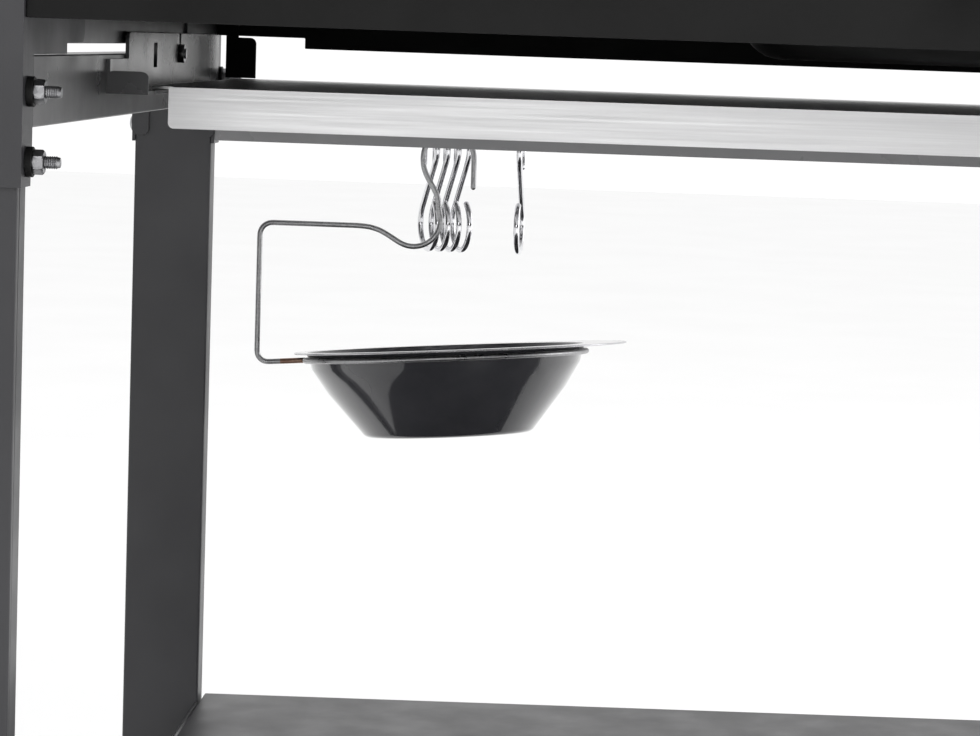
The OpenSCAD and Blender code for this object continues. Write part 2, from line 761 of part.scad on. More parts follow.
module lever_knob() {
    place(black) translate([0, -half_d - 10, lever_z + lever_t / 2]) difference() {
        rotate([90, 0, 0]) union() {
            cylinder(r = knob_r, h = knob_len - knob_r / 2);
            translate([0, 0, knob_len - knob_r / 2]) cylinder(r1 = knob_r, r2 = knob_r - 3, h = 3);
        }
        block([-lever_w / 2, -4, -lever_t / 2], [lever_w / 2, 1, lever_t / 2]);
    }
}

module ash_pan() {
    place(black) difference() {
        translate([0, 0, pan_z]) rotate_extrude($fn = 96) polygon(concat(
            [[0, 0]],
            arc([pan_r - pan_fillet, pan_fillet], pan_fillet, -90, 0, 8),
            [[pan_r, pan_h - fold_t], [pan_r + 16, pan_h - fold_t], [pan_r + 16, pan_h],
             [pan_r - fold_t, pan_h], [pan_r - fold_t, pan_fillet]],
            arc([pan_r - pan_fillet, pan_fillet], pan_fillet - fold_t, 0, -90, 8),
            [[0, fold_t]]
        ));
        at_pan_rods() cylinder(r = pan_rod_r + bolt_gap, h = 100);
    }
}

// The three rods' places, at the bottom of the ash pan
module at_pan_rods() {
    for (a = [90, 200, 340]) rotate([0, 0, a]) translate([pan_rod_at, 0, pan_z]) children();
}

module pan_rods() {
    t = acos(pan_rod_at / kettle_r);
    top = rim_z - kettle_depth * sin(t) + 0.5;
    place(grey) at_pan_rods() {
        translate([0, 0, pan_h - 8]) cylinder(r = pan_rod_r, h = top - pan_z - pan_h + 8);
        translate([0, 0, pan_h - 4.5]) cylinder(r = 4.8, h = 3, $fn = 6);
    }
}

// Domed lid with a skirt outside the kettle rim and a flat pad under its damper
module kettle_lid() {
    w = kettle_wall;
    r = kettle_r + rim_bead + lid_gap + w;
    place(black) difference() {
        union() {
            translate([0, 0, rim_z + lid_gap]) rotate_extrude($fn = 128)
                polygon(shell(r, lid_rise, w, 90));
            translate([0, 0, rim_z - skirt_h]) difference() {
                cylinder(r = r, h = skirt_h + lid_gap, $fn = 128);
                translate([0, 0, -1]) cylinder(r = r - w, h = skirt_h + 4, $fn = 128);
            }
            translate([0, 0, rim_z + lid_gap]) difference() {
                cylinder(r = r - w / 2, h = 3, $fn = 128);
                translate([0, 0, -1]) cylinder(r = kettle_r - 4, h = 6, $fn = 128);
            }
            at_vent() translate([0, 0, -4]) cylinder(r = damper_r + 2, h = pad_up + 4);
            translate([0, 0, lid_top - 5]) cylinder(r = handle_half + 12, h = 5 + lid_gap);
        }
        at_vent() {
            for (a = [0:90:270]) rotate([0, 0, a]) translate([vent_hole_at, 0, -30])
                cylinder(r = vent_hole_r, h = 60);
            translate([0, 0, -30]) cylinder(r = rivet_r, h = 60);
        }
    }
}

// The lid vent's frame: its axis square to the lid
module at_vent() {
    translate([0, -vent_r, vent_z]) rotate([vent_tilt, 0, 0]) children();
}

module lid_damper() {
    place(steel) at_vent() translate([0, 0, pad_up + CLEAR]) difference() {
        union() {
            cylinder(r = damper_r, h = damper_t);
            block([damper_r - 14, -3, 0], [damper_r + 10, 3, damper_t + 6]);
        }
        for (a = [0:90:270]) rotate([0, 0, a + 45]) translate([vent_hole_at, 0, -1])
            cylinder(r = vent_hole_r, h = 9);
        translate([0, 0, -1]) cylinder(r = rivet_r + run_gap, h = 9);
    }
}

module damper_rivet() {
    place(steel) at_vent() {
        translate([0, 0, -4]) cylinder(r = rivet_r, h = pad_up + 4 + 2 * CLEAR + damper_t + 0.5);
        translate([0, 0, pad_up + 2 * CLEAR + damper_t]) cylinder(r1 = 7, r2 = 4, h = 2.5);
    }
}

module handle_bracket() {
    z = lid_top + lid_gap;
    place(steel) for (sx = [-1, 1]) mirror([sx > 0 ? 1 : 0, 0, 0]) difference() {
        union() {
            block([-handle_half - 2, -12, z], [-handle_half, 12, z + handle_up]);
            translate([-handle_half - 2, 0, z + handle_up]) rotate([0, 90, 0]) cylinder(r = 12, h = 2);
            block([-handle_half - 2, -12, z], [-handle_half + 18, 12, z + 2]);
        }
        translate([-handle_half - 4, 0, z + handle_up]) rotate([0, 90, 0]) cylinder(r = 3, h = 8);
    }
}

module handle_grip() {
    place(black) translate([-handle_half, 0, lid_top + lid_gap + handle_up]) rotate([0, 90, 0]) {
        cylinder(r = grip_r, h = 2 * handle_half);
        translate([0, 0, 24]) cylinder(r = grip_r + 2, h = 2 * handle_half - 48);
        translate([0, 0, -2]) cylinder(r = 3, h = 2 * handle_half + 4);
        for (z = [-5, 2 * handle_half + 2]) translate([0, 0, z]) cylinder(r = 5.5, h = 3);
    }
}

// ---- Lower cart ----

module bottom_shelf() {
    place(dark) difference() {
        block([-in_x + sheet, -half_d, low_shelf_z], [in_x - sheet, half_d, low_shelf_z + low_shelf_lip]);
        block([-in_x, -half_d + 1.5, low_shelf_z - 1],
              [in_x, half_d - 1.5, low_shelf_z + low_shelf_lip - 1.5]);
    }
}

// Lower side rails between the legs, carrying the bottom shelf
module low_rails() {
    z = low_shelf_z + low_shelf_lip - 1.5;
    place(dark) for (sx = [-1, 1]) mirror([sx > 0 ? 1 : 0, 0, 0]) {
        block([-in_x - 1.5, -in_y, z - low_rail_h], [-in_x, in_y, z]);
        block([-in_x, -in_y + 1, z - low_rail_h], [-in_x + 16, in_y - 1, z - low_rail_h + 1.5]);
        block([-in_x - 1.5, -in_y + 1, z - low_rail_h], [-in_x + 1, in_y - 1, z - low_rail_h + 1.5]);
    }
}

module foot(sy) {
    x = -(half_w - leg_w / 2);
    y = sy * (half_d - leg_d / 2);
    place(black) translate([x, y, 0]) {
        block([-leg_w / 2, -leg_d / 2, 0], [leg_w / 2, leg_d / 2, foot_h]);
        block([-leg_w / 2 + leg_wall, -leg_d / 2 + leg_wall, foot_h - 1],
              [leg_w / 2 - leg_wall, leg_d / 2 - leg_wall, foot_h + 22]);
    }
}

module foot_front() foot(-1);
module foot_rear() foot(1);

module at_axle() { translate([axle_x, 0, wheel_r]) rotate([90, 0, 0]) children(); }

module wheel_axle() {
    place(grey) at_axle()
        cylinder(d = axle_d, h = cart_d + 2 * (wheel_off + wheel_w + 2), center = true);
}

module axle_caps() {
    place(black) at_axle() for (s = [0, 1]) mirror([0, 0, s])
        translate([0, 0, half_d + wheel_off + wheel_w + CLEAR]) difference() {
            cylinder(r = axle_d / 2 + 4, h = cap_len - CLEAR);
            translate([0, 0, -1]) cylinder(d = axle_d, h = 3 - CLEAR);
        }
}

// Wheels sit outside the legs, front (s = 1 along the axle) and rear
module wheel(s) {
    place(dark) at_axle() mirror([0, 0, s])
        translate([0, 0, half_d + wheel_off]) difference() {
            union() {
                translate([0, 0, 3]) difference() {
                    cylinder(r = wheel_r - tyre_t, h = wheel_w - 6);
                    translate([0, 0, -1]) cylinder(r = wheel_r - tyre_t - 6, h = wheel_w);
                }
                translate([0, 0, wheel_w / 2 - 3]) cylinder(r = wheel_r - tyre_t - 5, h = 6);
                cylinder(r = axle_d / 2 + 8, h = wheel_w);
                for (a = [0:60:300]) rotate([0, 0, a])
                    block([10, -2, 6], [wheel_r - tyre_t - 5, 2, wheel_w - 6]);
            }
            translate([0, 0, -1]) cylinder(r = axle_d / 2 + run_gap, h = wheel_w + 2);
        }
}

module tyre(s) {
    place(black) at_axle() mirror([0, 0, s])
        translate([0, 0, half_d + wheel_off + wheel_w / 2]) rotate_extrude($fn = 96)
            translate([wheel_r - tyre_t, -wheel_w / 2]) round_rect([-0.01, 0], [tyre_t, wheel_w], 5);
}

module wheel_front() wheel(0);
module wheel_rear() wheel(1);
module tyre_front() tyre(0);
module tyre_rear() tyre(1);

leg_front_left();
leg_front_right();
leg_rear_left();
leg_rear_right();
corner_front_left();
corner_front_right();
corner_rear_left();
corner_rear_right();
leg_bolts();
leg_washers();
leg_nuts();
side_beam_left();
side_beam_right();
side_panel_left();
side_panel_right();
front_apron();
rear_apron();
rear_rail();
rear_crossbar();
work_top();
kettle_collar();
shelf_hanger_left();
shelf_hanger_right();
hanger_studs();
shelf_retainers();
stainless_shelf();
hook_rod();
rod_brackets();
hanger_peg();
s_hook_1();
s_hook_2();
s_hook_3();
s_hook_4();
s_hook_5();
bowl_hanger();
grease_bowl();
kettle_bowl();
kettle_lugs();
charcoal_grate();
cooking_grate();
sweeper_bush();
ash_sweeper();
lever_knob();
ash_pan();
pan_rods();
kettle_lid();
lid_damper();
damper_rivet();
handle_bracket();
handle_grip();
bottom_shelf();
low_rails();
foot_front();
foot_rear();
wheel_axle();
axle_caps();
wheel_front();
wheel_rear();
tyre_front();
tyre_rear();
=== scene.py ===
import json
import math

import bmesh
import bpy
from mathutils import Matrix, Vector


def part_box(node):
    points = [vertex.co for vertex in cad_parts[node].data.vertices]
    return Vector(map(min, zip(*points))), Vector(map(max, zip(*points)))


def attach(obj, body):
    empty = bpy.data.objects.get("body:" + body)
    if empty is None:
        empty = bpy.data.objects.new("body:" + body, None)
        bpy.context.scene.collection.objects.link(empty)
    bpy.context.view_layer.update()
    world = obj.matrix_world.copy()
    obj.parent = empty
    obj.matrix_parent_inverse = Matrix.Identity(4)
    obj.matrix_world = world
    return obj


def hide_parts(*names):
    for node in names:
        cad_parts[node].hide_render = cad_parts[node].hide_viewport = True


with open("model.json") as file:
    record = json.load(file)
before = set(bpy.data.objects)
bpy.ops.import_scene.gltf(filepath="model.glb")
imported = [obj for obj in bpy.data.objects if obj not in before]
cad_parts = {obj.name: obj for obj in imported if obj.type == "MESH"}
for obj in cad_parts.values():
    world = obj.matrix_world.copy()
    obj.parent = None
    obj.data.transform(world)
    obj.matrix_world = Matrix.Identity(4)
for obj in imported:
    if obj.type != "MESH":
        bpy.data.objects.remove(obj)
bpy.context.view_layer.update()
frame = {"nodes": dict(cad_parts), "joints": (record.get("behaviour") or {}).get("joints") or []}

MM = 0.001
UP = Vector((0, 0, 1))


# ---- Places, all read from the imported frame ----

def low(node):
    return Vector(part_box(node)[0])


def high(node):
    return Vector(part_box(node)[1])


def middle(node):
    return (low(node) + high(node)) / 2


joints = {j["name"]: j for j in frame["joints"]}

SHEET = 2 * MM
BEAM_DROP = 15 * MM
DATUM = high("side_beam_left").z + BEAM_DROP      # the level that the lower frame hangs from
KETTLE = middle("kettle_bowl")                    # the kettle's axis
RIM_Z = high("kettle_bowl").z
KETTLE_R = (high("kettle_bowl").x - low("kettle_bowl").x) / 2
PEG = Vector(joints["hanger_swing"]["pos_m"])


# ---- Mesh building ----

def make_object(name, verts, faces, material, body, replaced=(), smooth=True, slot=None):
    """A mesh piece that rides on a body and stands for the CAD nodes that it replaces."""
    mesh = bpy.data.meshes.new(name)
    mesh.from_pydata([tuple(v) for v in verts], [], faces)
    mesh.validate()
    mesh.polygons.foreach_set("use_smooth", [smooth] * len(mesh.polygons))
    obj = bpy.data.objects.new(name, mesh)
    bpy.context.scene.collection.objects.link(obj)
    mesh.materials.append(material)
    recalculate(mesh)
    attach(obj, body)
    if replaced:
        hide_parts(*replaced)
    return obj


def recalculate(mesh):
    work = bmesh.new()
    work.from_mesh(mesh)
    bmesh.ops.recalc_face_normals(work, faces=work.faces)
    work.to_mesh(mesh)
    work.free()


def shade_by_angle(obj, degrees=35):
    """Smooth shading with sharp edges kept where the surface turns quickly."""
    limit = math.radians(degrees)
    work = bmesh.new()
    work.from_mesh(obj.data)
    for edge in work.edges:
        edge.smooth = len(edge.link_faces) == 2 and edge.calc_face_angle(0) < limit
    work.to_mesh(obj.data)
    work.free()


def arc(centre, radius, start, end, count):
    """Points of an arc in a plane, in degrees."""
    angles = [math.radians(start + (end - start) * i / count) for i in range(count + 1)]
    return [(centre[0] + radius * math.cos(a), centre[1] + radius * math.sin(a)) for a in angles]


class Build:
    """Collects vertices and faces of several solids into one mesh."""

    def __init__(self):
        self.verts = []
        self.faces = []

    def add(self, verts, faces):
        start = len(self.verts)
        self.verts += [Vector(v) for v in verts]
        self.faces += [tuple(start + i for i in f) for f in faces]

    def lathe(self, profile, place=Matrix(), segments=64, closed=False):
        """Turns a profile of (radius, height, optional x offset) about the local Z axis."""
        rings = []
        verts = []
        for point in profile:
            radius, height = point[0], point[1]
            shift = point[2] if len(point) > 2 else 0
            if radius < 1e-7:
                rings.append([len(verts)] * segments)
                verts.append(Vector((shift, 0, height)))
                continue
            rings.append(list(range(len(verts), len(verts) + segments)))
            for k in range(segments):
                a = 2 * math.pi * k / segments
                verts.append(Vector((shift + radius * math.cos(a), radius * math.sin(a), height)))
        faces = []
        count = len(rings)
        for i in range(count if closed else count - 1):
            low_ring, high_ring = rings[i], rings[(i + 1) % count]
            for k in range(segments):
                m = (k + 1) % segments
                face = [low_ring[k], low_ring[m], high_ring[m], high_ring[k]]
                face = [v for n, v in enumerate(face) if v not in face[:n]]
                if len(face) > 2:
                    faces.append(face)
        self.add([place @ v for v in verts], faces)

    def tube(self, path, radius, segments=16, closed=False, round_ends=True):
        """A round wire along 3-D points, with domed ends."""
        path = [Vector(p) for p in path]
        count = len(path)
        heading = []
        for i in range(count):
            before = path[(i - 1) % count] if closed or i > 0 else path[i]
            after = path[(i + 1) % count] if closed or i < count - 1 else path[i]
            heading.append((after - before).normalized())
        side = heading[0].orthogonal().normalized()
        rings = []
        for point, t in zip(path, heading):
            side = (side - t * side.dot(t)).normalized()
            rings.append((point, side, t.cross(side), radius))
        if round_ends and not closed:
            steps = (0.0, 0.35, 0.65, 0.87, 0.98)
            head, tail = rings[0], rings[-1]
            first = [(head[0] - heading[0] * radius * s, head[1], head[2],
                      radius * math.sqrt(1 - s * s)) for s in reversed(steps[1:])]
            last = [(tail[0] + heading[-1] * radius * s, tail[1], tail[2],
                     radius * math.sqrt(1 - s * s)) for s in steps[1:]]
            rings = first + rings + last
        verts = []
        for point, u, v, r in rings:
            for k in range(segments):
                a = 2 * math.pi * k / segments
                verts.append(point + u * (r * math.cos(a)) + v * (r * math.sin(a)))
        total = len(rings)
        faces = []
        for i in range(total if closed else total - 1):
            j = (i + 1) % total
            for k in range(segments):
                m = (k + 1) % segments
                faces.append((i * segments + k, i * segments + m, j * segments + m, j * segments + k))
        if not closed:
            faces.append(tuple(range(segments))[::-1])
            faces.append(tuple((total - 1) * segments + k for k in range(segments)))
        self.add(verts, faces)

    def object(self, name, material, body, replaced=(), sharp=35, **options):
        obj = make_object(name, self.verts, self.faces, material, body, replaced, **options)
        shade_by_angle(obj, sharp)
        return obj


# ---- Materials ----

class Shader:
    """A Principled material with helpers for noise, bump and colour variation."""

    def __init__(self, name):
        self.material = bpy.data.materials.new(name)
        self.material.use_nodes = True
        self.tree = self.material.node_tree
        self.bsdf = self.tree.nodes["Principled BSDF"]
        self.coords = self.tree.nodes.new("ShaderNodeTexCoord").outputs["Object"]

    def node(self, kind, **values):
        made = self.tree.nodes.new(kind)
        for key, value in values.items():
            setattr(made, key, value)
        return made

    def link(self, a, b):
        self.tree.links.new(a, b)

    def set(self, **values):
        for key, value in values.items():
            self.bsdf.inputs[key.replace("_", " ")].default_value = value

    def mapping(self, scale):
        made = self.node("ShaderNodeMapping")
        made.inputs["Scale"].default_value = scale
        self.link(self.coords, made.inputs["Vector"])
        return made.outputs["Vector"]

    def noise(self, scale, detail=4.0, stretch=(1, 1, 1), rough=0.55):
        made = self.node("ShaderNodeTexNoise")
        made.inputs["Scale"].default_value = scale
        made.inputs["Detail"].default_value = detail
        made.inputs["Roughness"].default_value = rough
        self.link(self.mapping(stretch), made.inputs["Vector"])
        return made.outputs["Fac"]

    def cells(self, scale):
        made = self.node("ShaderNodeTexVoronoi")
        made.inputs["Scale"].default_value = scale
        self.link(self.coords, made.inputs["Vector"])
        return made.outputs["Color"]

    def ramp(self, source, low_value, high_value, start=0.3, end=0.7):
        made = self.node("ShaderNodeMapRange")
        made.inputs["From Min"].default_value = start
        made.inputs["From Max"].default_value = end
        made.inputs["To Min"].default_value = low_value
        made.inputs["To Max"].default_value = high_value
        self.link(source, made.inputs["Value"])
        return made.outputs["Result"]

    def mix(self, factor, a, b):
        made = self.node("ShaderNodeMix", data_type="RGBA")
        made.inputs["A"].default_value = (*a, 1)
        made.inputs["B"].default_value = (*b, 1)
        self.link(factor, made.inputs["Factor"])
        return made.outputs["Result"]

    def colour(self, factor, a, b):
        self.link(self.mix(factor, a, b), self.bsdf.inputs["Base Color"])

    def roughness(self, factor):
        self.link(factor, self.bsdf.inputs["Roughness"])

    def bump(self, *layers):
        """Layers of (height, distance in metres), fine ones last."""
        normal = None
        for height, distance in layers:
            made = self.node("ShaderNodeBump")
            made.inputs["Strength"].default_value = 1.0
            made.inputs["Distance"].default_value = distance
            self.link(height, made.inputs["Height"])
            if normal:
                self.link(normal, made.inputs["Normal"])
            normal = made.outputs["Normal"]
        self.link(normal, self.bsdf.inputs["Normal"])


def powder_coat(name, dark, light, rough, grain=0.00004, ior=1.5):
    """Paint with a fine texture, faint cloudiness and patches of handling sheen."""
    s = Shader(name)
    s.set(IOR=ior)
    cloud = s.noise(9, 5)
    s.colour(s.ramp(cloud, 0, 1), dark, light)
    s.roughness(s.ramp(s.noise(23, 6), rough - 0.05, rough + 0.07))
    s.bump((s.noise(60, 2), 0.00003), (s.noise(1400, 3), grain))
    return s.material


def brushed(name, dark, light, rough, stretch, grain=0.000012):
    """Metal with long fine grain along the axis that stretch makes small."""
    s = Shader(name)
    s.set(Metallic=1.0)
    grain_fac = s.noise(900, 5, stretch, 0.7)
    s.colour(s.ramp(grain_fac, 0, 1, 0.25, 0.75), dark, light)
    s.roughness(s.ramp(s.noise(700, 4, stretch), rough - 0.06, rough + 0.09))
    s.bump((s.noise(14, 2), 0.00002), (grain_fac, grain))
    return s.material


def polished(name, colour, rough=0.06):
    """Bright plating with faint waviness and hairline wear."""
    s = Shader(name)
    s.set(Metallic=1.0)
    wear = s.noise(240, 6, (1, 1, 0.2), 0.7)
    s.colour(s.ramp(wear, 0, 1, 0.3, 0.8), colour, tuple(c * 0.82 for c in colour))
    s.roughness(s.ramp(wear, rough, rough + 0.12, 0.45, 0.8))
    s.bump((s.noise(180, 2), 0.000012))
    return s.material


def zinc_plate(name):
    """Zinc plating: soft spangle, slightly dull in patches."""
    s = Shader(name)
    s.set(Metallic=1.0)
    split = s.node("ShaderNodeSeparateColor")
    s.link(s.cells(420), split.inputs["Color"])
    spangle = split.outputs["Red"]
    s.colour(s.ramp(spangle, 0, 1, 0, 1), (0.24, 0.24, 0.25), (0.42, 0.42, 0.43))
    s.roughness(s.ramp(s.noise(300, 4), 0.26, 0.46))
    s.bump((s.noise(2600, 3), 0.00001))
    return s.material


def vitreous_enamel(name, dark, light):
    """Deep gloss black enamel over steel, with a gentle orange peel."""
    s = Shader(name)
    s.set(IOR=1.52, Coat_Weight=0.6, Coat_Roughness=0.03, Coat_IOR=1.5)
    s.colour(s.ramp(s.noise(30, 4), 0, 1), dark, light)
    s.roughness(s.ramp(s.noise(70, 5), 0.07, 0.17))
    s.bump((s.noise(26, 1), 0.00009), (s.noise(220, 2), 0.000012))
    return s.material


def drawn_wire(name, dark, light, rough):
    """Plain steel wire with drawing marks."""
    s = Shader(name)
    s.set(Metallic=1.0)
    marks = s.noise(700, 5)
    s.colour(s.ramp(marks, 0, 1), dark, light)
    s.roughness(s.ramp(s.noise(160, 4), rough - 0.06, rough + 0.1))
    s.bump((marks, 0.00001))
    return s.material


def heat_tint(name):
    """Steel browned by welding, fading in blotches."""
    s = Shader(name)
    s.set(Metallic=1.0)
    s.colour(s.ramp(s.noise(260, 4), 0, 1), (0.20, 0.11, 0.07), (0.36, 0.25, 0.2))
    s.roughness(s.ramp(s.noise(300, 4), 0.3, 0.5))
    s.bump((s.noise(700, 3), 0.00002))
    return s.material


def moulded(name, dark, light, rough, grain):
    """Plastic or rubber with a spark-eroded grain."""
    s = Shader(name)
    s.set(IOR=1.48)
    s.colour(s.ramp(s.noise(40, 4), 0, 1), dark, light)
    s.roughness(s.ramp(s.noise(90, 4), rough - 0.05, rough + 0.1))
    s.bump((s.cells(900), grain), (s.noise(2200, 3), grain / 2))
    return s.material


def matt_floor(name):
    """Pale studio floor with faint clouding."""
    s = Shader(name)
    s.colour(s.ramp(s.noise(3, 3), 0, 1), (0.93, 0.93, 0.93), (0.95, 0.95, 0.95))
    s.set(Roughness=0.9)
    return s.material


LEG_PAINT = powder_coat("leg_paint", (0.024, 0.024, 0.027), (0.032, 0.032, 0.035), 0.38)
FRAME_PAINT = powder_coat("frame_paint", (0.040, 0.040, 0.042), (0.055, 0.055, 0.057), 0.31)
HANGER_PAINT = powder_coat("hanger_paint", (0.038, 0.038, 0.040), (0.052, 0.052, 0.054), 0.24)
CROSSBAR_PAINT = powder_coat("crossbar_paint", (0.20, 0.20, 0.205), (0.24, 0.24, 0.245), 0.3)
BLACK_PAINT = powder_coat("black_paint", (0.003, 0.003, 0.003), (0.006, 0.006, 0.006), 0.5, 0.00003, 1.3)
STAINLESS = brushed("stainless", (0.74, 0.74, 0.745), (0.84, 0.84, 0.845), 0.44, (0.012, 1, 1), 0.000004)
STAINLESS_PART = brushed("stainless_part", (0.52, 0.52, 0.52), (0.68, 0.68, 0.68), 0.3, (1, 0.03, 1))
CHROME = polished("chrome", (0.80, 0.80, 0.82))
GRATE_PLATE = polished("grate_plate", (0.66, 0.66, 0.67), 0.16)
ZINC = zinc_plate("zinc")
ENAMEL = vitreous_enamel("enamel", (0.006, 0.006, 0.007), (0.013, 0.013, 0.015))
# The grease bowl uses the kettle's black enamel painted several times lighter: a painted reflection that
# stands in for brighter surroundings in its gloss.
BOWL_ENAMEL_PAINTED_REFLECTION = vitreous_enamel("bowl_enamel_painted_reflection", (0.030, 0.030, 0.034), (0.042, 0.042, 0.047))
WIRE = drawn_wire("hanger_wire", (0.26, 0.26, 0.265), (0.40, 0.40, 0.405), 0.3)
BARE_STEEL = drawn_wire("bare_steel", (0.15, 0.15, 0.15), (0.26, 0.26, 0.255), 0.42)
TINT = heat_tint("heat_tint")
PLASTIC = moulded("black_plastic", (0.012, 0.012, 0.012), (0.02, 0.02, 0.021), 0.45, 0.00003)
RUBBER = moulded("tyre_rubber", (0.014, 0.014, 0.014), (0.022, 0.022, 0.021), 0.72, 0.00006)
RIM_EDGE = polished("bowl_rim_edge", (0.56, 0.56, 0.58), 0.22)
FLOOR = matt_floor("floor_white")


# ---- CAD nodes that keep their shape: a material and rolled edges ----

def finish_node(node, material, edge=0.5 * MM, segments=2):
    """Gives a CAD node its material and breaks its sharp edges, leaving its mesh alone."""
    obj = frame["nodes"][node]
    for index in range(len(obj.material_slots)):
        obj.material_slots[index].link = "OBJECT"
        obj.material_slots[index].material = material
    if not obj.material_slots:
        obj.data.materials.append(material)
    if edge:
        weld = obj.modifiers.new("join_faces", "WELD")
        weld.merge_threshold = 0.00001
        bevel = obj.modifiers.new("edge_break", "BEVEL")
        bevel.width = edge
        bevel.segments = segments
        bevel.limit_method = "ANGLE"
        bevel.angle_limit = math.radians(50)
        bevel.harden_normals = True
        bevel.use_clamp_overlap = True


for side in ("front_left", "front_right", "rear_left", "rear_right"):
    finish_node("leg_" + side, LEG_PAINT, 1.6 * MM, 3)
    finish_node("corner_" + side, LEG_PAINT, 0.7 * MM)
for side in ("left", "right"):
    finish_node("side_beam_" + side, FRAME_PAINT, 0.8 * MM)
    finish_node("side_panel_" + side, FRAME_PAINT, 0.6 * MM)
    finish_node("shelf_hanger_" + side, HANGER_PAINT, 0.5 * MM)
for node in ("front_apron", "rear_apron", "work_top", "shelf_retainers", "rod_brackets"):
    finish_node(node, BLACK_PAINT, 0.6 * MM)
finish_node("rear_rail", BLACK_PAINT, 0.8 * MM)
finish_node("rear_crossbar", CROSSBAR_PAINT, 1.2 * MM, 3)
finish_node("stainless_shelf", STAINLESS, 0.6 * MM, 3)
finish_node("kettle_collar", LEG_PAINT, 0.5 * MM)
finish_node("bottom_shelf", LEG_PAINT, 0.6 * MM)
finish_node("low_rails", LEG_PAINT, 0.4 * MM)
finish_node("kettle_lugs", LEG_PAINT, 0.4 * MM)
finish_node("hanger_studs", ZINC, 0.3 * MM)
finish_node("hanger_peg", ZINC, 0.3 * MM)
finish_node("hook_rod", CHROME, 0.6 * MM)
finish_node("wheel_axle", ZINC, 0.6 * MM)
finish_node("sweeper_bush", ZINC, 0.3 * MM)
finish_node("ash_sweeper", STAINLESS_PART, 0.4 * MM)
finish_node("handle_bracket", STAINLESS_PART, 0.4 * MM)
finish_node("lid_damper", STAINLESS_PART, 0.4 * MM)
finish_node("damper_rivet", ZINC, 0.3 * MM)
finish_node("pan_rods", ZINC, 0.3 * MM)
finish_node("axle_caps", PLASTIC, 0.8 * MM)
for end in ("front", "rear"):
    finish_node("foot_" + end, PLASTIC, 1.2 * MM)
    finish_node("wheel_" + end, PLASTIC, 0.7 * MM)


# ---- Leg fasteners ----

BOLT_R = 3 * MM
BOLT_DROPS = (31.5 * MM, 63.5 * MM)
NUT_R = 5.8 * MM
NUT_T = 5 * MM
WASHER_R = 7 * MM
WASHER_T = 3.2 * MM
HEAD_R = 6 * MM
HEAD_H = 3.2 * MM
THREAD_PITCH = 1.0 * MM
STUD_PROUD = 15.5 * MM


def bolt_places():
    """A frame at the outer side of each leg for each bolt, its Z axis pointing inwards."""
    for side in ("front_left", "front_right", "rear_left", "rear_right"):
        lo, hi = low("leg_" + side), high("leg_" + side)
        left = side.endswith("left")
        x = lo.x if left else hi.x
        turn = Matrix.Rotation(math.radians(90 if left else -90), 4, "Y")
        for drop in BOLT_DROPS:
            at = Vector((x, (lo.y + hi.y) / 2, DATUM - drop))
            yield Matrix.Translation(at) @ turn, hi.x - lo.x


def build_fasteners():
    bolts, washers, nuts = Build(), Build(), Build()
    for place, width in bolt_places():
        inner = width + SHEET
        seat = inner + WASHER_T
        end = inner + STUD_PROUD
        profile = [(0, -SHEET - HEAD_H)]
        profile += [(HEAD_R * math.sin(a), -SHEET - HEAD_H * math.cos(a))
                    for a in [math.radians(d) for d in (18, 36, 54, 72, 86)]]
        profile += [(HEAD_R, -SHEET), (BOLT_R, -SHEET), (BOLT_R, inner)]
        z = seat + NUT_T * 0.4
        while z < end - THREAD_PITCH * 1.5:
            profile += [(BOLT_R * 0.86, z), (BOLT_R, z + THREAD_PITCH * 0.5)]
            z += THREAD_PITCH
        profile += [(BOLT_R * 0.86, z), (BOLT_R * 0.8, end - 0.0002), (BOLT_R * 0.72, end), (0, end)]
        bolts.lathe(profile, place, 28)
        bore = BOLT_R * 1.04
        edge = 0.25 * MM
        washers.lathe([(bore, inner), (WASHER_R - edge, inner), (WASHER_R, inner + edge),
                       (WASHER_R, seat - edge), (WASHER_R - edge, seat), (bore, seat)],
                      place, 40, closed=True)
        hex_nut(nuts, place @ Matrix.Translation((0, 0, seat)))
    bolts.object("leg_bolt_set", ZINC, "cart", ["leg_bolts"], 30, slot="zinc")
    washers.object("leg_washer_set", BLACK_PAINT, "cart", ["leg_washers"], 30, slot="black_paint")
    nuts.object("leg_nut_set", ZINC, "cart", ["leg_nuts"], 25, slot="zinc")


def hex_nut(build, place):
    """A hexagon nut with chamfered corners, as a turned profile cut to six flats."""
    segments = 48
    flat = NUT_R * math.cos(math.pi / 6)
    levels = [(0.0, flat), (0.06, flat + 0.35 * MM), (0.16, NUT_R), (0.84, NUT_R),
              (0.94, flat + 0.35 * MM), (1.0, flat)]
    bore = BOLT_R * 0.98
    rings = [(bore, 0.0)] + [(limit, h * NUT_T) for h, limit in levels] + [(bore, NUT_T)]
    verts = []
    for limit, z in rings:
        for k in range(segments):
            a = 2 * math.pi * k / segments
            sector = (a % (math.pi / 3)) - math.pi / 6
            r = min(limit, flat / math.cos(sector))
            verts.append(place @ Vector((r * math.cos(a), r * math.sin(a), z)))
    faces = []
    count = len(rings)
    for i in range(count):
        j = (i + 1) % count
        for k in range(segments):
            m = (k + 1) % segments
            faces.append((i * segments + k, i * segments + m, j * segments + m, j * segments + k))
    build.add(verts, faces)


build_fasteners()


# ---- S hooks ----

HOOK_WIRE = 4 * MM
HOOK_H = 85 * MM
HOOK_R1 = 13 * MM
HOOK_R2 = 17.5 * MM
HOOK_YAW = 23
HOOK_CURL = 55
SINGLE_YAW = -4


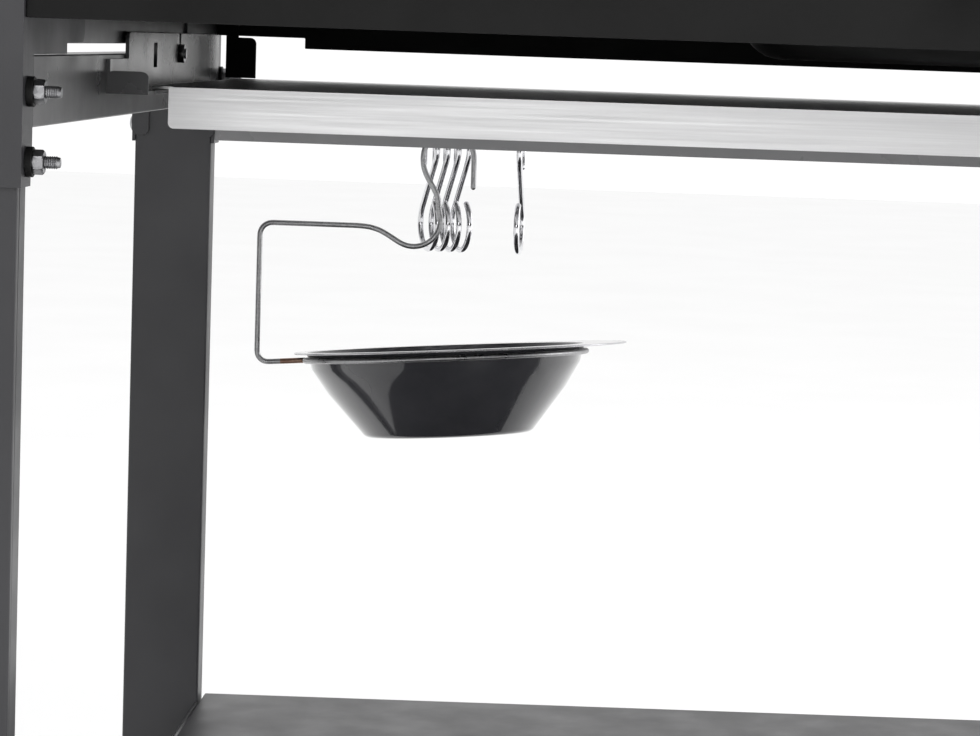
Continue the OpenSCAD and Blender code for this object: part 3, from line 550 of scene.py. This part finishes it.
def hook_points():
    """The hook's bends in its own plane, from the top of its wire."""
    c1 = -HOOK_R1
    c2 = -(HOOK_H - HOOK_WIRE - HOOK_R2)
    lean = math.degrees(math.asin((HOOK_R1 + HOOK_R2) / (c1 - c2)))
    points = [(-HOOK_R1, c1 - 11 * MM), (-HOOK_R1, c1 - 5 * MM)]
    points += arc((0, c1), HOOK_R1, 180, -lean, 30)
    points += arc((0, c2), HOOK_R2, 180 - lean, 360 + HOOK_CURL, 40)
    return smooth_path(points, 1.6 * MM)


def smooth_path(points, spacing):
    """Evenly spaced points on a curve through the given ones, its corners eased."""
    fine = []
    for (ax, ay), (bx, by) in zip(points, points[1:]):
        count = max(1, round(math.hypot(bx - ax, by - ay) / spacing))
        fine += [(ax + (bx - ax) * i / count, ay + (by - ay) * i / count) for i in range(count)]
    fine.append(points[-1])
    for _ in range(3):
        inner = [((a[0] + 2 * b[0] + c[0]) / 4, (a[1] + 2 * b[1] + c[1]) / 4)
                 for a, b, c in zip(fine, fine[1:], fine[2:])]
        fine = [fine[0]] + inner + [fine[-1]]
    return fine


def build_hooks():
    top = high("s_hook_1").z - HOOK_WIRE / 2
    for index in range(1, 6):
        node = f"s_hook_{index}"
        yaw = SINGLE_YAW if index == 5 else HOOK_YAW
        centre = Vector(joints[f"hook_{index}_swing"]["pos_m"])
        place = Matrix.Translation((centre.x, centre.y, top)) @ Matrix.Rotation(
            math.radians(yaw - 90), 4, "Z")
        build = Build()
        build.tube([place @ Vector((u, 0, w)) for u, w in hook_points()], HOOK_WIRE / 2, 20)
        build.object(f"s_hook_wire_{index}", CHROME, f"hook_{index}", [node], 60, slot="chrome")


build_hooks()


# ---- Wire hanger and grease bowl ----

HANGER_R = 1.8 * MM
LOOP_R = 17 * MM
BOWL_U = 2 * MM
BOWL_W = -206.6 * MM
BOWL_TOP_R = 92.3 * MM
BOWL_BASE_R = 58.5 * MM
BOWL_H = 58 * MM
BOWL_WALL = 1.2 * MM
RIM_R = 111 * MM
RIM_OFFSET = 10 * MM
PLAY = 0.3 * MM
RING_R = BOWL_TOP_R + PLAY - 0.6 * MM + HANGER_R
RING_DROP = 5.5 * MM
lift_axis = Vector(joints["grease_bowl_lift"]["axis"]).normalized()
TILT = math.atan2(-lift_axis.x, lift_axis.z)
LEAN = math.asin(lift_axis.y)
bowl_place = (Matrix.Translation((PEG.x + BOWL_U, PEG.y, DATUM + BOWL_W))
              @ Matrix.Rotation(-TILT, 4, "Y") @ Matrix.Rotation(-LEAN, 4, "X"))


def hanger_points():
    """The hanger's bends in its own plane, from the peg axis and the datum."""
    c, s = math.cos(TILT), math.sin(TILT)
    rx = BOWL_U - RING_R * c + RING_DROP * s
    rz = BOWL_W - RING_R * s - RING_DROP * c
    corner = -117.2 * MM
    foot = (corner, rz + (corner - rx) * s / c + 7 * MM)
    bend = [(-16.6, -86), (-14.5, -92), (-9, -101), (-5.8, -108)]
    crook = [(-38, -133.2), (-44, -129.8), (-51, -127.7), (-59, -127.1), (-115.8, -127.1)]
    points = [(LOOP_R, -99 * MM), (LOOP_R, -90 * MM)]
    points += arc((0, -80 * MM), LOOP_R, 0, 180, 30)
    points += [(u * MM, w * MM) for u, w in bend]
    points += arc((-22 * MM, -122 * MM), 18 * MM, 25, -125, 24)
    points += [(u * MM, w * MM) for u, w in crook]
    points += arc((-116.2 * MM, -135.1 * MM), 8 * MM, 90, 180, 10)
    points += arc(foot, 7 * MM, 180, 270, 10)
    points.append((rx - HANGER_R * 0.6, rz))
    return smooth_path(points, 1.5 * MM)


def build_hanger():
    path = [Vector((PEG.x + u, PEG.y, DATUM + w)) for u, w in hanger_points()]
    tint_count = 12
    build = Build()
    build.tube(path[:-tint_count + 1], HANGER_R, 20)
    ring = [bowl_place @ Vector((RING_R * math.cos(a), RING_R * math.sin(a), -RING_DROP))
            for a in [2 * math.pi * i / 160 for i in range(160)]]
    build.tube(ring, HANGER_R, 20, closed=True)
    build.object("hanger_wire_form", WIRE, "hanger", ["bowl_hanger"], 60, slot="wire_steel")
    weld = Build()
    weld.tube(path[-tint_count:], HANGER_R * 1.003, 20)
    bead = Matrix.Translation(path[-1])
    weld.lathe([(0, -1.5 * MM), (1.2 * MM, -1.3 * MM), (2.2 * MM, -0.8 * MM), (2.5 * MM, 0),
                (2.2 * MM, 0.8 * MM), (1.2 * MM, 1.3 * MM), (0, 1.5 * MM)], bead, 24)
    weld.object("hanger_weld", TINT, "hanger", (), 60, slot="wire_steel")


def build_grease_bowl():
    rt, rb, h, w = BOWL_TOP_R, BOWL_BASE_R, BOWL_H, BOWL_WALL
    fillet = 6 * MM
    outer = [(0, 1.2 * MM - h), (rb * 0.72, 1.2 * MM - h), (rb * 0.78, -h), (rb - fillet, -h)]
    outer += arc((rb - fillet, fillet - h), fillet, -80, -30, 8)
    outer += [(rt - 3 * MM - (rt - rb) * 0.30 * (1 - t), -12 * MM - (h - 22 * MM) * (1 - t) * 0.45)
              for t in (0.0, 0.5)]
    outer += [(rt - 3 * MM, -12 * MM), (rt - 0.6 * MM, -w - 2.4 * MM), (rt + 0.8 * MM, -w)]
    roll = 1.1 * MM
    rim_path = [(rt + (RIM_R - roll - rt) * t, -w, RIM_OFFSET * t) for t in (0.3, 0.6, 0.85, 1.0)]
    edge = [(RIM_R - roll + roll * math.cos(math.radians(a)),
             -w * 0.5 + roll * 0.55 * math.sin(math.radians(a)), RIM_OFFSET)
            for a in (-60, -20, 20, 60)]
    inner_rim = [(rt + (RIM_R - roll - rt) * t, 0, RIM_OFFSET * t) for t in (1.0, 0.85, 0.6, 0.3)]
    inner = [(rt + 0.2 * MM, -0.2 * MM), (rt - w - 0.4 * MM, -w - 2.4 * MM),
             (rt - 3 * MM - w, -12 * MM)]
    inner += arc((rb - fillet, fillet - h), fillet - w, -30, -80, 8)
    inner += [(rb * 0.7, w - h), (0, w * 2 - h)]
    shell = Build()
    shell.lathe(outer + rim_path + edge + inner_rim + inner, bowl_place, 144)
    # The shell wears the enamel painted lighter, a painted reflection on the grease bowl.
    shell.object("grease_bowl_shell", BOWL_ENAMEL_PAINTED_REFLECTION, "grease", ["grease_bowl"], 50, slot="enamel")
    trim = Build()
    trim.lathe([(RIM_R - 2.2 * MM, 0.01 * MM, RIM_OFFSET), (RIM_R - roll, 0.02 * MM, RIM_OFFSET)]
               + [(RIM_R - roll + (roll + 0.02 * MM) * math.cos(math.radians(a)),
                   -w * 0.5 + roll * 0.6 * math.sin(math.radians(a)), RIM_OFFSET)
                  for a in (70, 40, 10, -20, -50, -80)]
               + [(RIM_R - 2.2 * MM, -w - 0.02 * MM, RIM_OFFSET)], bowl_place, 144, closed=True)
    trim.object("grease_bowl_rim_edge", RIM_EDGE, "grease", (), 60, slot="chrome")


build_hanger()
build_grease_bowl()


# ---- Kettle, lid, grates and ash pan ----

WALL = 1.6 * MM
FLAT_R = 80 * MM
BEAD = 4 * MM
BOWL_R = KETTLE_R - 3 * MM
KETTLE_DEPTH = (RIM_Z - low("kettle_bowl").z) / math.sin(math.acos(FLAT_R / BOWL_R))
LID_GAP = 0.4 * MM
LID_R = (high("kettle_lid").x - low("kettle_lid").x) / 2
LID_RISE = 185 * MM
LID_SKIRT = 8 * MM
BOSS_R = 62 * MM                                  # raised seat under the lid's handle
ASH_VENT_RING = 48 * MM
ASH_VENT_R = 15 * MM
ASH_VENT_TURNS = (90, 210, 330)
SHAFT_HOLE_R = 9.02 * MM
FLOOR_CUT = 8 * MM
kettle_axis = Matrix.Translation((KETTLE.x, KETTLE.y, RIM_Z))


def ellipse(radius, rise, start, end, count):
    angles = [math.radians(start + (end - start) * i / count) for i in range(count + 1)]
    return [(radius * math.cos(a), rise * math.sin(a)) for a in angles]


def cut_holes(obj, cutter):
    """Cuts a closed mesh out of a piece for good."""
    cutter.hide_render = True
    modifier = obj.modifiers.new("holes", "BOOLEAN")
    modifier.operation = "DIFFERENCE"
    modifier.solver = "EXACT"
    modifier.use_self = True
    modifier.object = cutter
    depsgraph = bpy.context.evaluated_depsgraph_get()
    mesh = bpy.data.meshes.new_from_object(obj.evaluated_get(depsgraph))
    obj.modifiers.clear()
    old = obj.data
    obj.data = mesh
    bpy.data.meshes.remove(old)
    bpy.data.objects.remove(cutter)


def loose_cylinders(name, places, radius, depth):
    """A cutter made of cylinders centred on the given frames."""
    build = Build()
    for place in places:
        build.lathe([(0, -depth), (radius, -depth), (radius, depth), (0, depth)], place, 40)
    mesh = bpy.data.meshes.new(name)
    mesh.from_pydata([tuple(v) for v in build.verts], [], build.faces)
    recalculate(mesh)
    obj = bpy.data.objects.new(name, mesh)
    bpy.context.scene.collection.objects.link(obj)
    return obj


def build_kettle_bowl():
    end = math.degrees(math.acos(FLAT_R / BOWL_R))
    outer = [(r, -z) for r, z in ellipse(BOWL_R, KETTLE_DEPTH, 3, end, 60)]
    inner = [(r, -z) for r, z in ellipse(BOWL_R - WALL, KETTLE_DEPTH - WALL, end, 2, 60)]
    floor = outer[-1][1]
    bead = [(BOWL_R + 1.5 * MM + 1.5 * MM * math.cos(math.radians(a)),
             -BEAD / 2 + BEAD / 2 * math.sin(math.radians(a))) for a in range(-90, 91, 20)]
    profile = inner[-1:] + [(BOWL_R - WALL, 0)] + bead[::-1] + outer
    profile += [(FLAT_R * 0.5, floor), (0, floor), (0, floor + WALL), (FLAT_R * 0.5, floor + WALL)]
    profile += inner[:-1]
    build = Build()
    build.lathe(profile, kettle_axis, 192, closed=True)
    bowl = build.object("kettle_bowl_shell", ENAMEL, "cart", ["kettle_bowl"], 50, slot="enamel")
    vents = [kettle_axis @ Matrix.Rotation(math.radians(a), 4, "Z")
             @ Matrix.Translation((ASH_VENT_RING, 0, floor)) for a in ASH_VENT_TURNS]
    shaft = [kettle_axis @ Matrix.Translation((0, 0, floor))]
    cut_holes(bowl, loose_cylinders("vent_cutter", vents, ASH_VENT_R, FLOOR_CUT))
    cut_holes(bowl, loose_cylinders("shaft_cutter", shaft, SHAFT_HOLE_R, FLOOR_CUT))


PAD_UP = 9 * MM
DAMPER_R = 40 * MM
HOLE_RING = 23 * MM
HOLE_R = 8 * MM
HOLE_CUT = 30 * MM
PAD_SUNK = 3.5 * MM
damper_axis = Vector(joints["damper_turn"]["axis"]).normalized()
vent_place = Matrix.Translation(joints["damper_turn"]["pos_m"]) @ UP.rotation_difference(
    damper_axis).to_matrix().to_4x4()


def build_lid():
    outer = ellipse(LID_R, LID_RISE, 0, 89.9, 90)
    inner = ellipse(LID_R - WALL, LID_RISE - WALL, 89.9, 1.5, 60)
    outer = [(r, z + LID_GAP) for r, z in outer]
    inner = [(r, z + LID_GAP) for r, z in inner]
    foot = [(LID_R - WALL / 2 + WALL / 2 * math.cos(math.radians(a)),
             -LID_SKIRT + WALL / 2 + WALL / 2 * math.sin(math.radians(a))) for a in range(-180, 1, 30)]
    ledge = [(BOWL_R - 4 * MM, 3 * MM + LID_GAP), (BOWL_R - 4 * MM, LID_GAP),
             (LID_R - WALL, LID_GAP)]
    profile = outer[:-1] + [(0, outer[-1][1]), (0, inner[0][1])] + inner[1:] + ledge + foot
    build = Build()
    build.lathe(profile, kettle_axis, 192, closed=True)
    build.lathe([(0, LID_RISE - 4 * MM), (BOSS_R, LID_RISE - 4.4 * MM),
                 (BOSS_R + 1.6 * MM, LID_RISE - 1.6 * MM), (BOSS_R + 0.6 * MM, LID_RISE - 0.2 * MM),
                 (BOSS_R - 2 * MM, LID_RISE + LID_GAP), (0, LID_RISE + LID_GAP)], kettle_axis, 96)
    build.lathe([(0, -PAD_SUNK), (DAMPER_R + 2 * MM, -PAD_SUNK),
                 (DAMPER_R + 2 * MM, PAD_UP - 1.2 * MM), (DAMPER_R + 1.6 * MM, PAD_UP - 0.4 * MM),
                 (DAMPER_R + 0.6 * MM, PAD_UP), (0, PAD_UP)], vent_place, 96)
    lid = build.object("kettle_lid_shell", ENAMEL, "lid", ["kettle_lid"], 50, slot="enamel")
    holes = [vent_place @ Matrix.Rotation(math.radians(a), 4, "Z")
             @ Matrix.Translation((HOLE_RING, 0, 0)) for a in range(0, 360, 90)]
    cut_holes(lid, loose_cylinders("hole_cutter", holes, HOLE_R, HOLE_CUT))


GRATE_RING_R = 2.5 * MM
GRATE_ROD_R = 2.2 * MM
CROSS_ROD_SHARE = 0.88


def build_grate(name, node, body, pitch, material, slot):
    """A welded round-rod grate: ring, parallel rods and two cross rods underneath."""
    centre = middle(node)
    ring_r = (high(node).x - low(node).x) / 2 - GRATE_RING_R
    z = high(node).z - GRATE_RING_R
    build = Build()
    ring = [Vector((centre.x + ring_r * math.cos(a), centre.y + ring_r * math.sin(a), z))
            for a in [2 * math.pi * i / 144 for i in range(144)]]
    build.tube(ring, GRATE_RING_R, 16, closed=True)
    count = int((ring_r - 5 * MM) / pitch)
    for i in range(-count, count + 1):
        half = math.sqrt(ring_r ** 2 - (i * pitch) ** 2)
        x = centre.x + i * pitch
        build.tube([(x, centre.y - half, z), (x, centre.y + half, z)], GRATE_ROD_R, 14)
    for share in (-0.5, 0.5):
        half = math.sqrt(ring_r ** 2 * 0.75)
        y = centre.y + share * ring_r
        build.tube([(centre.x - half, y, z - 0.5 * MM), (centre.x + half, y, z - 0.5 * MM)],
                   GRATE_ROD_R * CROSS_ROD_SHARE, 14)
    build.object(name, material, body, [node], 60, slot=slot)


PAN_FLANGE = 16 * MM
PAN_FILLET = 24 * MM
PAN_WALL = 1.5 * MM


def build_ash_pan():
    lo, hi = low("ash_pan"), high("ash_pan")
    centre = middle("ash_pan")
    outer_r = (hi.x - lo.x) / 2
    wall_r = outer_r - PAN_FLANGE
    height = hi.z - lo.z
    fillet, t = PAN_FILLET, PAN_WALL
    profile = [(0, 0), (wall_r - fillet, 0)]
    profile += arc((wall_r - fillet, fillet), fillet, -86, 0, 20)
    profile += [(wall_r, height - t - 1 * MM), (wall_r + 1 * MM, height - t), (outer_r - t, height - t)]
    profile += [(outer_r - t / 2 + t / 2 * math.cos(math.radians(a)),
                 height - t / 2 + t / 2 * math.sin(math.radians(a))) for a in (-60, -20, 20, 60)]
    profile += [(outer_r - t, height), (wall_r - t + 1 * MM, height), (wall_r - t, height - 1 * MM)]
    profile += arc((wall_r - fillet, fillet), fillet - t, 0, -86, 20)
    profile += [(wall_r - fillet, t), (0, t)]
    build = Build()
    build.lathe(profile, Matrix.Translation((centre.x, centre.y, lo.z)), 144)
    build.object("ash_pan_dish", BLACK_PAINT, "cart", ["ash_pan"], 50, slot="black_paint")


build_kettle_bowl()
build_lid()
build_grate("cooking_grate_rods", "cooking_grate", "cooking", 20 * MM, GRATE_PLATE, "chrome")
build_grate("charcoal_grate_rods", "charcoal_grate", "coal", 28 * MM, BARE_STEEL, "wire_steel")
build_ash_pan()


# ---- Handles, knob and tyres ----

GRIP_R = 11 * MM
GRIP_SWELL = 2 * MM
GRIP_GROOVE = 0.7 * MM
GRIP_GROOVES = 9


def build_grip():
    """The lid's grip: a turned handle with finger grooves, and its two screw heads."""
    lo, hi = low("handle_grip"), high("handle_grip")
    centre = middle("handle_grip")
    half = (hi.x - lo.x) / 2 - 5 * MM
    place = Matrix.Translation(centre) @ Matrix.Rotation(math.radians(90), 4, "Y")
    radius = GRIP_R
    profile = [(0, -half), (radius - 1.6 * MM, -half), (radius - 0.4 * MM, -half + 0.6 * MM),
               (radius, -half + 2 * MM)]
    steps = 72
    for i in range(1, steps):
        t = i / steps
        z = -half + 2 * MM + (2 * half - 4 * MM) * t
        body = radius + GRIP_SWELL * math.sin(math.pi * t) ** 0.7
        groove = GRIP_GROOVE * max(0.0, math.cos(2 * math.pi * GRIP_GROOVES * t)) ** 4
        profile.append((body - groove * (0.12 < t < 0.88), z))
    profile += [(radius, half - 2 * MM), (radius - 0.4 * MM, half - 0.6 * MM),
                (radius - 1.6 * MM, half), (0, half)]
    build = Build()
    build.lathe(profile, place, 72)
    build.object("lid_grip", PLASTIC, "lid", ["handle_grip"], 50, slot="black_plastic")
    screws = Build()
    head = [(0, 5 * MM), (2.6 * MM, 4.8 * MM), (4.6 * MM, 3.9 * MM), (5.5 * MM, 2.4 * MM),
            (5.5 * MM, 2 * MM), (2.9 * MM, 2 * MM), (2.9 * MM, -1 * MM), (0, -1 * MM)]
    for turn in (90, -90):
        at = Matrix.Translation(centre) @ Matrix.Rotation(math.radians(turn), 4, "Y")
        screws.lathe(head, at @ Matrix.Translation((0, 0, half)), 32)
    screws.object("lid_grip_screws", ZINC, "lid", (), 30, slot="zinc")


def build_knob():
    lo, hi = low("lever_knob"), high("lever_knob")
    centre = middle("lever_knob")
    length = hi.y - lo.y
    radius = (hi.x - lo.x) / 2
    place = Matrix.Translation((centre.x, hi.y, centre.z)) @ Matrix.Rotation(
        math.radians(90), 4, "X")
    profile = [(0, 0.2 * MM), (radius * 0.62, 0.2 * MM), (radius * 0.68, 1 * MM)]
    for i in range(25):
        t = i / 24
        profile.append((radius * (0.72 + 0.28 * math.sin(math.pi * (0.12 + 0.62 * t)) ** 1.5),
                        1 * MM + (length - 5 * MM) * t))
    profile += [(radius * 0.72, length - 2 * MM), (radius * 0.45, length - 0.6 * MM), (0, length)]
    build = Build()
    build.lathe(profile, place, 56)
    build.object("ash_lever_knob", PLASTIC, "sweeper", ["lever_knob"], 50, slot="black_plastic")


TYRE_THICKNESS = 12 * MM
SHOULDER = 5 * MM
SHOULDER_IN = 0.2 * MM
TREAD_OFFSETS = (-8 * MM, 0, 8 * MM)
TREAD_DEPTH = 2 * MM
CROSS_CUT_DEPTH = 1.4 * MM


def build_tyre(end):
    """A tyre with a rounded tread, three grooves and cross cuts."""
    node = "tyre_" + end
    lo, hi = low(node), high(node)
    centre = middle(node)
    radius = (hi.z - lo.z) / 2
    width = hi.y - lo.y
    thickness = TYRE_THICKNESS
    place = Matrix.Translation(centre) @ Matrix.Rotation(math.radians(90), 4, "X")
    profile = [(radius - thickness, -width / 2 + 3 * MM), (radius - thickness + 1 * MM, -width / 2)]
    profile += [(radius - 6 * MM, -width / 2)]
    profile += [(radius - SHOULDER + SHOULDER * math.sin(math.radians(a)) - SHOULDER_IN,
                 -width / 2 + SHOULDER - SHOULDER * math.cos(math.radians(a))) for a in range(15, 90, 15)]
    for offset in TREAD_OFFSETS:
        profile += [(radius, offset - 1.6 * MM), (radius - TREAD_DEPTH, offset - 1 * MM),
                    (radius - TREAD_DEPTH, offset + 1 * MM), (radius, offset + 1.6 * MM)]
    profile += [(radius - SHOULDER + SHOULDER * math.sin(math.radians(a)) - SHOULDER_IN,
                 width / 2 - SHOULDER + SHOULDER * math.cos(math.radians(a))) for a in range(75, 0, -15)]
    profile += [(radius - 6 * MM, width / 2), (radius - thickness + 1 * MM, width / 2),
                (radius - thickness, width / 2 - 3 * MM)]
    build = Build()
    build.lathe(profile, place, 180, closed=True)
    tyre = build.object("tread_" + end, RUBBER, end + "_wheel", [node], 40, slot="tyre_rubber")
    cross_cuts(tyre, centre, radius)


def cross_cuts(tyre, centre, radius):
    """Presses shallow cuts across the tread at every sixth column of the turned mesh."""
    for vertex in tyre.data.vertices:
        offset = vertex.co - centre
        r = math.hypot(offset.x, offset.z)
        step = round(math.degrees(math.atan2(offset.z, offset.x)) / 2) % 6
        if r > radius - 1 * MM and step == 0:
            shrink = (r - CROSS_CUT_DEPTH) / r
            vertex.co.x = centre.x + offset.x * shrink
            vertex.co.z = centre.z + offset.z * shrink


build_grip()
build_knob()
build_tyre("front")
build_tyre("rear")


# ---- Floor, light and camera ----

FLOOR_HALF = 12.0


def build_stage():
    half = FLOOR_HALF
    mesh = bpy.data.meshes.new("floor")
    mesh.from_pydata([(-half, -half, 0), (half, -half, 0), (half, half, 0), (-half, half, 0)],
                     [], [(0, 1, 2, 3)])
    floor = bpy.data.objects.new("floor", mesh)
    mesh.materials.append(FLOOR)
    bpy.context.scene.collection.objects.link(floor)


def area_light(name, place, target, size, power):
    data = bpy.data.lights.new(name, "AREA")
    data.shape = "RECTANGLE"
    data.size, data.size_y = size
    data.energy = power
    lamp = bpy.data.objects.new(name, data)
    bpy.context.scene.collection.objects.link(lamp)
    lamp.location = place
    lamp.rotation_euler = (Vector(target) - Vector(place)).to_track_quat("-Z", "Y").to_euler()


SKY_STRENGTH = 1.04
ROOM_FROM = (-0.35, 0.6)                          # how far round towards +Y the room brightens
ROOM_TO = (0.06, 1.0)
KEY_POWER = 50
SIDE_POWER = 36
FRONT_POWER = 9


def build_light():
    """Even white surroundings for the floor; reflections also see a darker room behind."""
    world = bpy.data.worlds.new("studio")
    world.use_nodes = True
    tree = world.node_tree
    background = tree.nodes["Background"]
    background.inputs["Strength"].default_value = SKY_STRENGTH
    coords = tree.nodes.new("ShaderNodeTexCoord")
    split = tree.nodes.new("ShaderNodeSeparateXYZ")
    tree.links.new(coords.outputs["Generated"], split.inputs["Vector"])
    room = tree.nodes.new("ShaderNodeMapRange")
    room.inputs["From Min"].default_value, room.inputs["From Max"].default_value = ROOM_FROM
    room.inputs["To Min"].default_value, room.inputs["To Max"].default_value = ROOM_TO
    tree.links.new(split.outputs["Y"], room.inputs["Value"])
    path = tree.nodes.new("ShaderNodeLightPath")
    mix = tree.nodes.new("ShaderNodeMix")
    mix.data_type = "RGBA"
    mix.inputs["A"].default_value = (1, 1, 1, 1)
    tree.links.new(path.outputs["Is Glossy Ray"], mix.inputs["Factor"])
    tree.links.new(room.outputs["Result"], mix.inputs["B"])
    tree.links.new(mix.outputs["Result"], background.inputs["Color"])
    bpy.context.scene.world = world
    target = (0, 0, 0.6)
    area_light("key", (1.9, -2.6, 2.2), target, (1.6, 1.6), KEY_POWER)
    area_light("side", (2.8, 0.9, 1.0), target, (2.2, 2.2), SIDE_POWER)
    area_light("front", (-0.6, -3.4, 0.9), (-0.2, 0, 0.55), (1.4, 0.7), FRONT_POWER)


CAMERA_LENS = 112.07
CAMERA_SHIFT = (-0.15, -0.08)
CAMERA_RIGHT = 0.3292                             # from the near left leg's outer corner
CAMERA_BACK = 1.3801
CAMERA_DROP = 0.0006
CAMERA_PAN = -0.117
CAMERA_DOWN = 4.585
CAMERA_ROLL = 2.028


def build_camera():
    """Level with the shelf, looking along +Y and a little down, rolled two degrees."""
    data = bpy.data.cameras.new("camera")
    data.sensor_width = 36
    data.lens = CAMERA_LENS
    data.shift_x, data.shift_y = CAMERA_SHIFT
    camera = bpy.data.objects.new("camera", data)
    bpy.context.scene.collection.objects.link(camera)
    leg = low("leg_front_left")
    place = Vector((leg.x + CAMERA_RIGHT, leg.y - CAMERA_BACK, DATUM - CAMERA_DROP))
    turn = Matrix.Rotation(math.radians(CAMERA_PAN), 4, "Z")
    turn = turn @ Matrix.Rotation(math.radians(90 - CAMERA_DOWN), 4, "X")
    turn = turn @ Matrix.Rotation(math.radians(CAMERA_ROLL), 4, "Z")
    camera.matrix_world = Matrix.Translation(place) @ turn
    bpy.context.scene.camera = camera


build_stage()
build_light()
build_camera()
bpy.context.scene.view_settings.view_transform = "Standard"
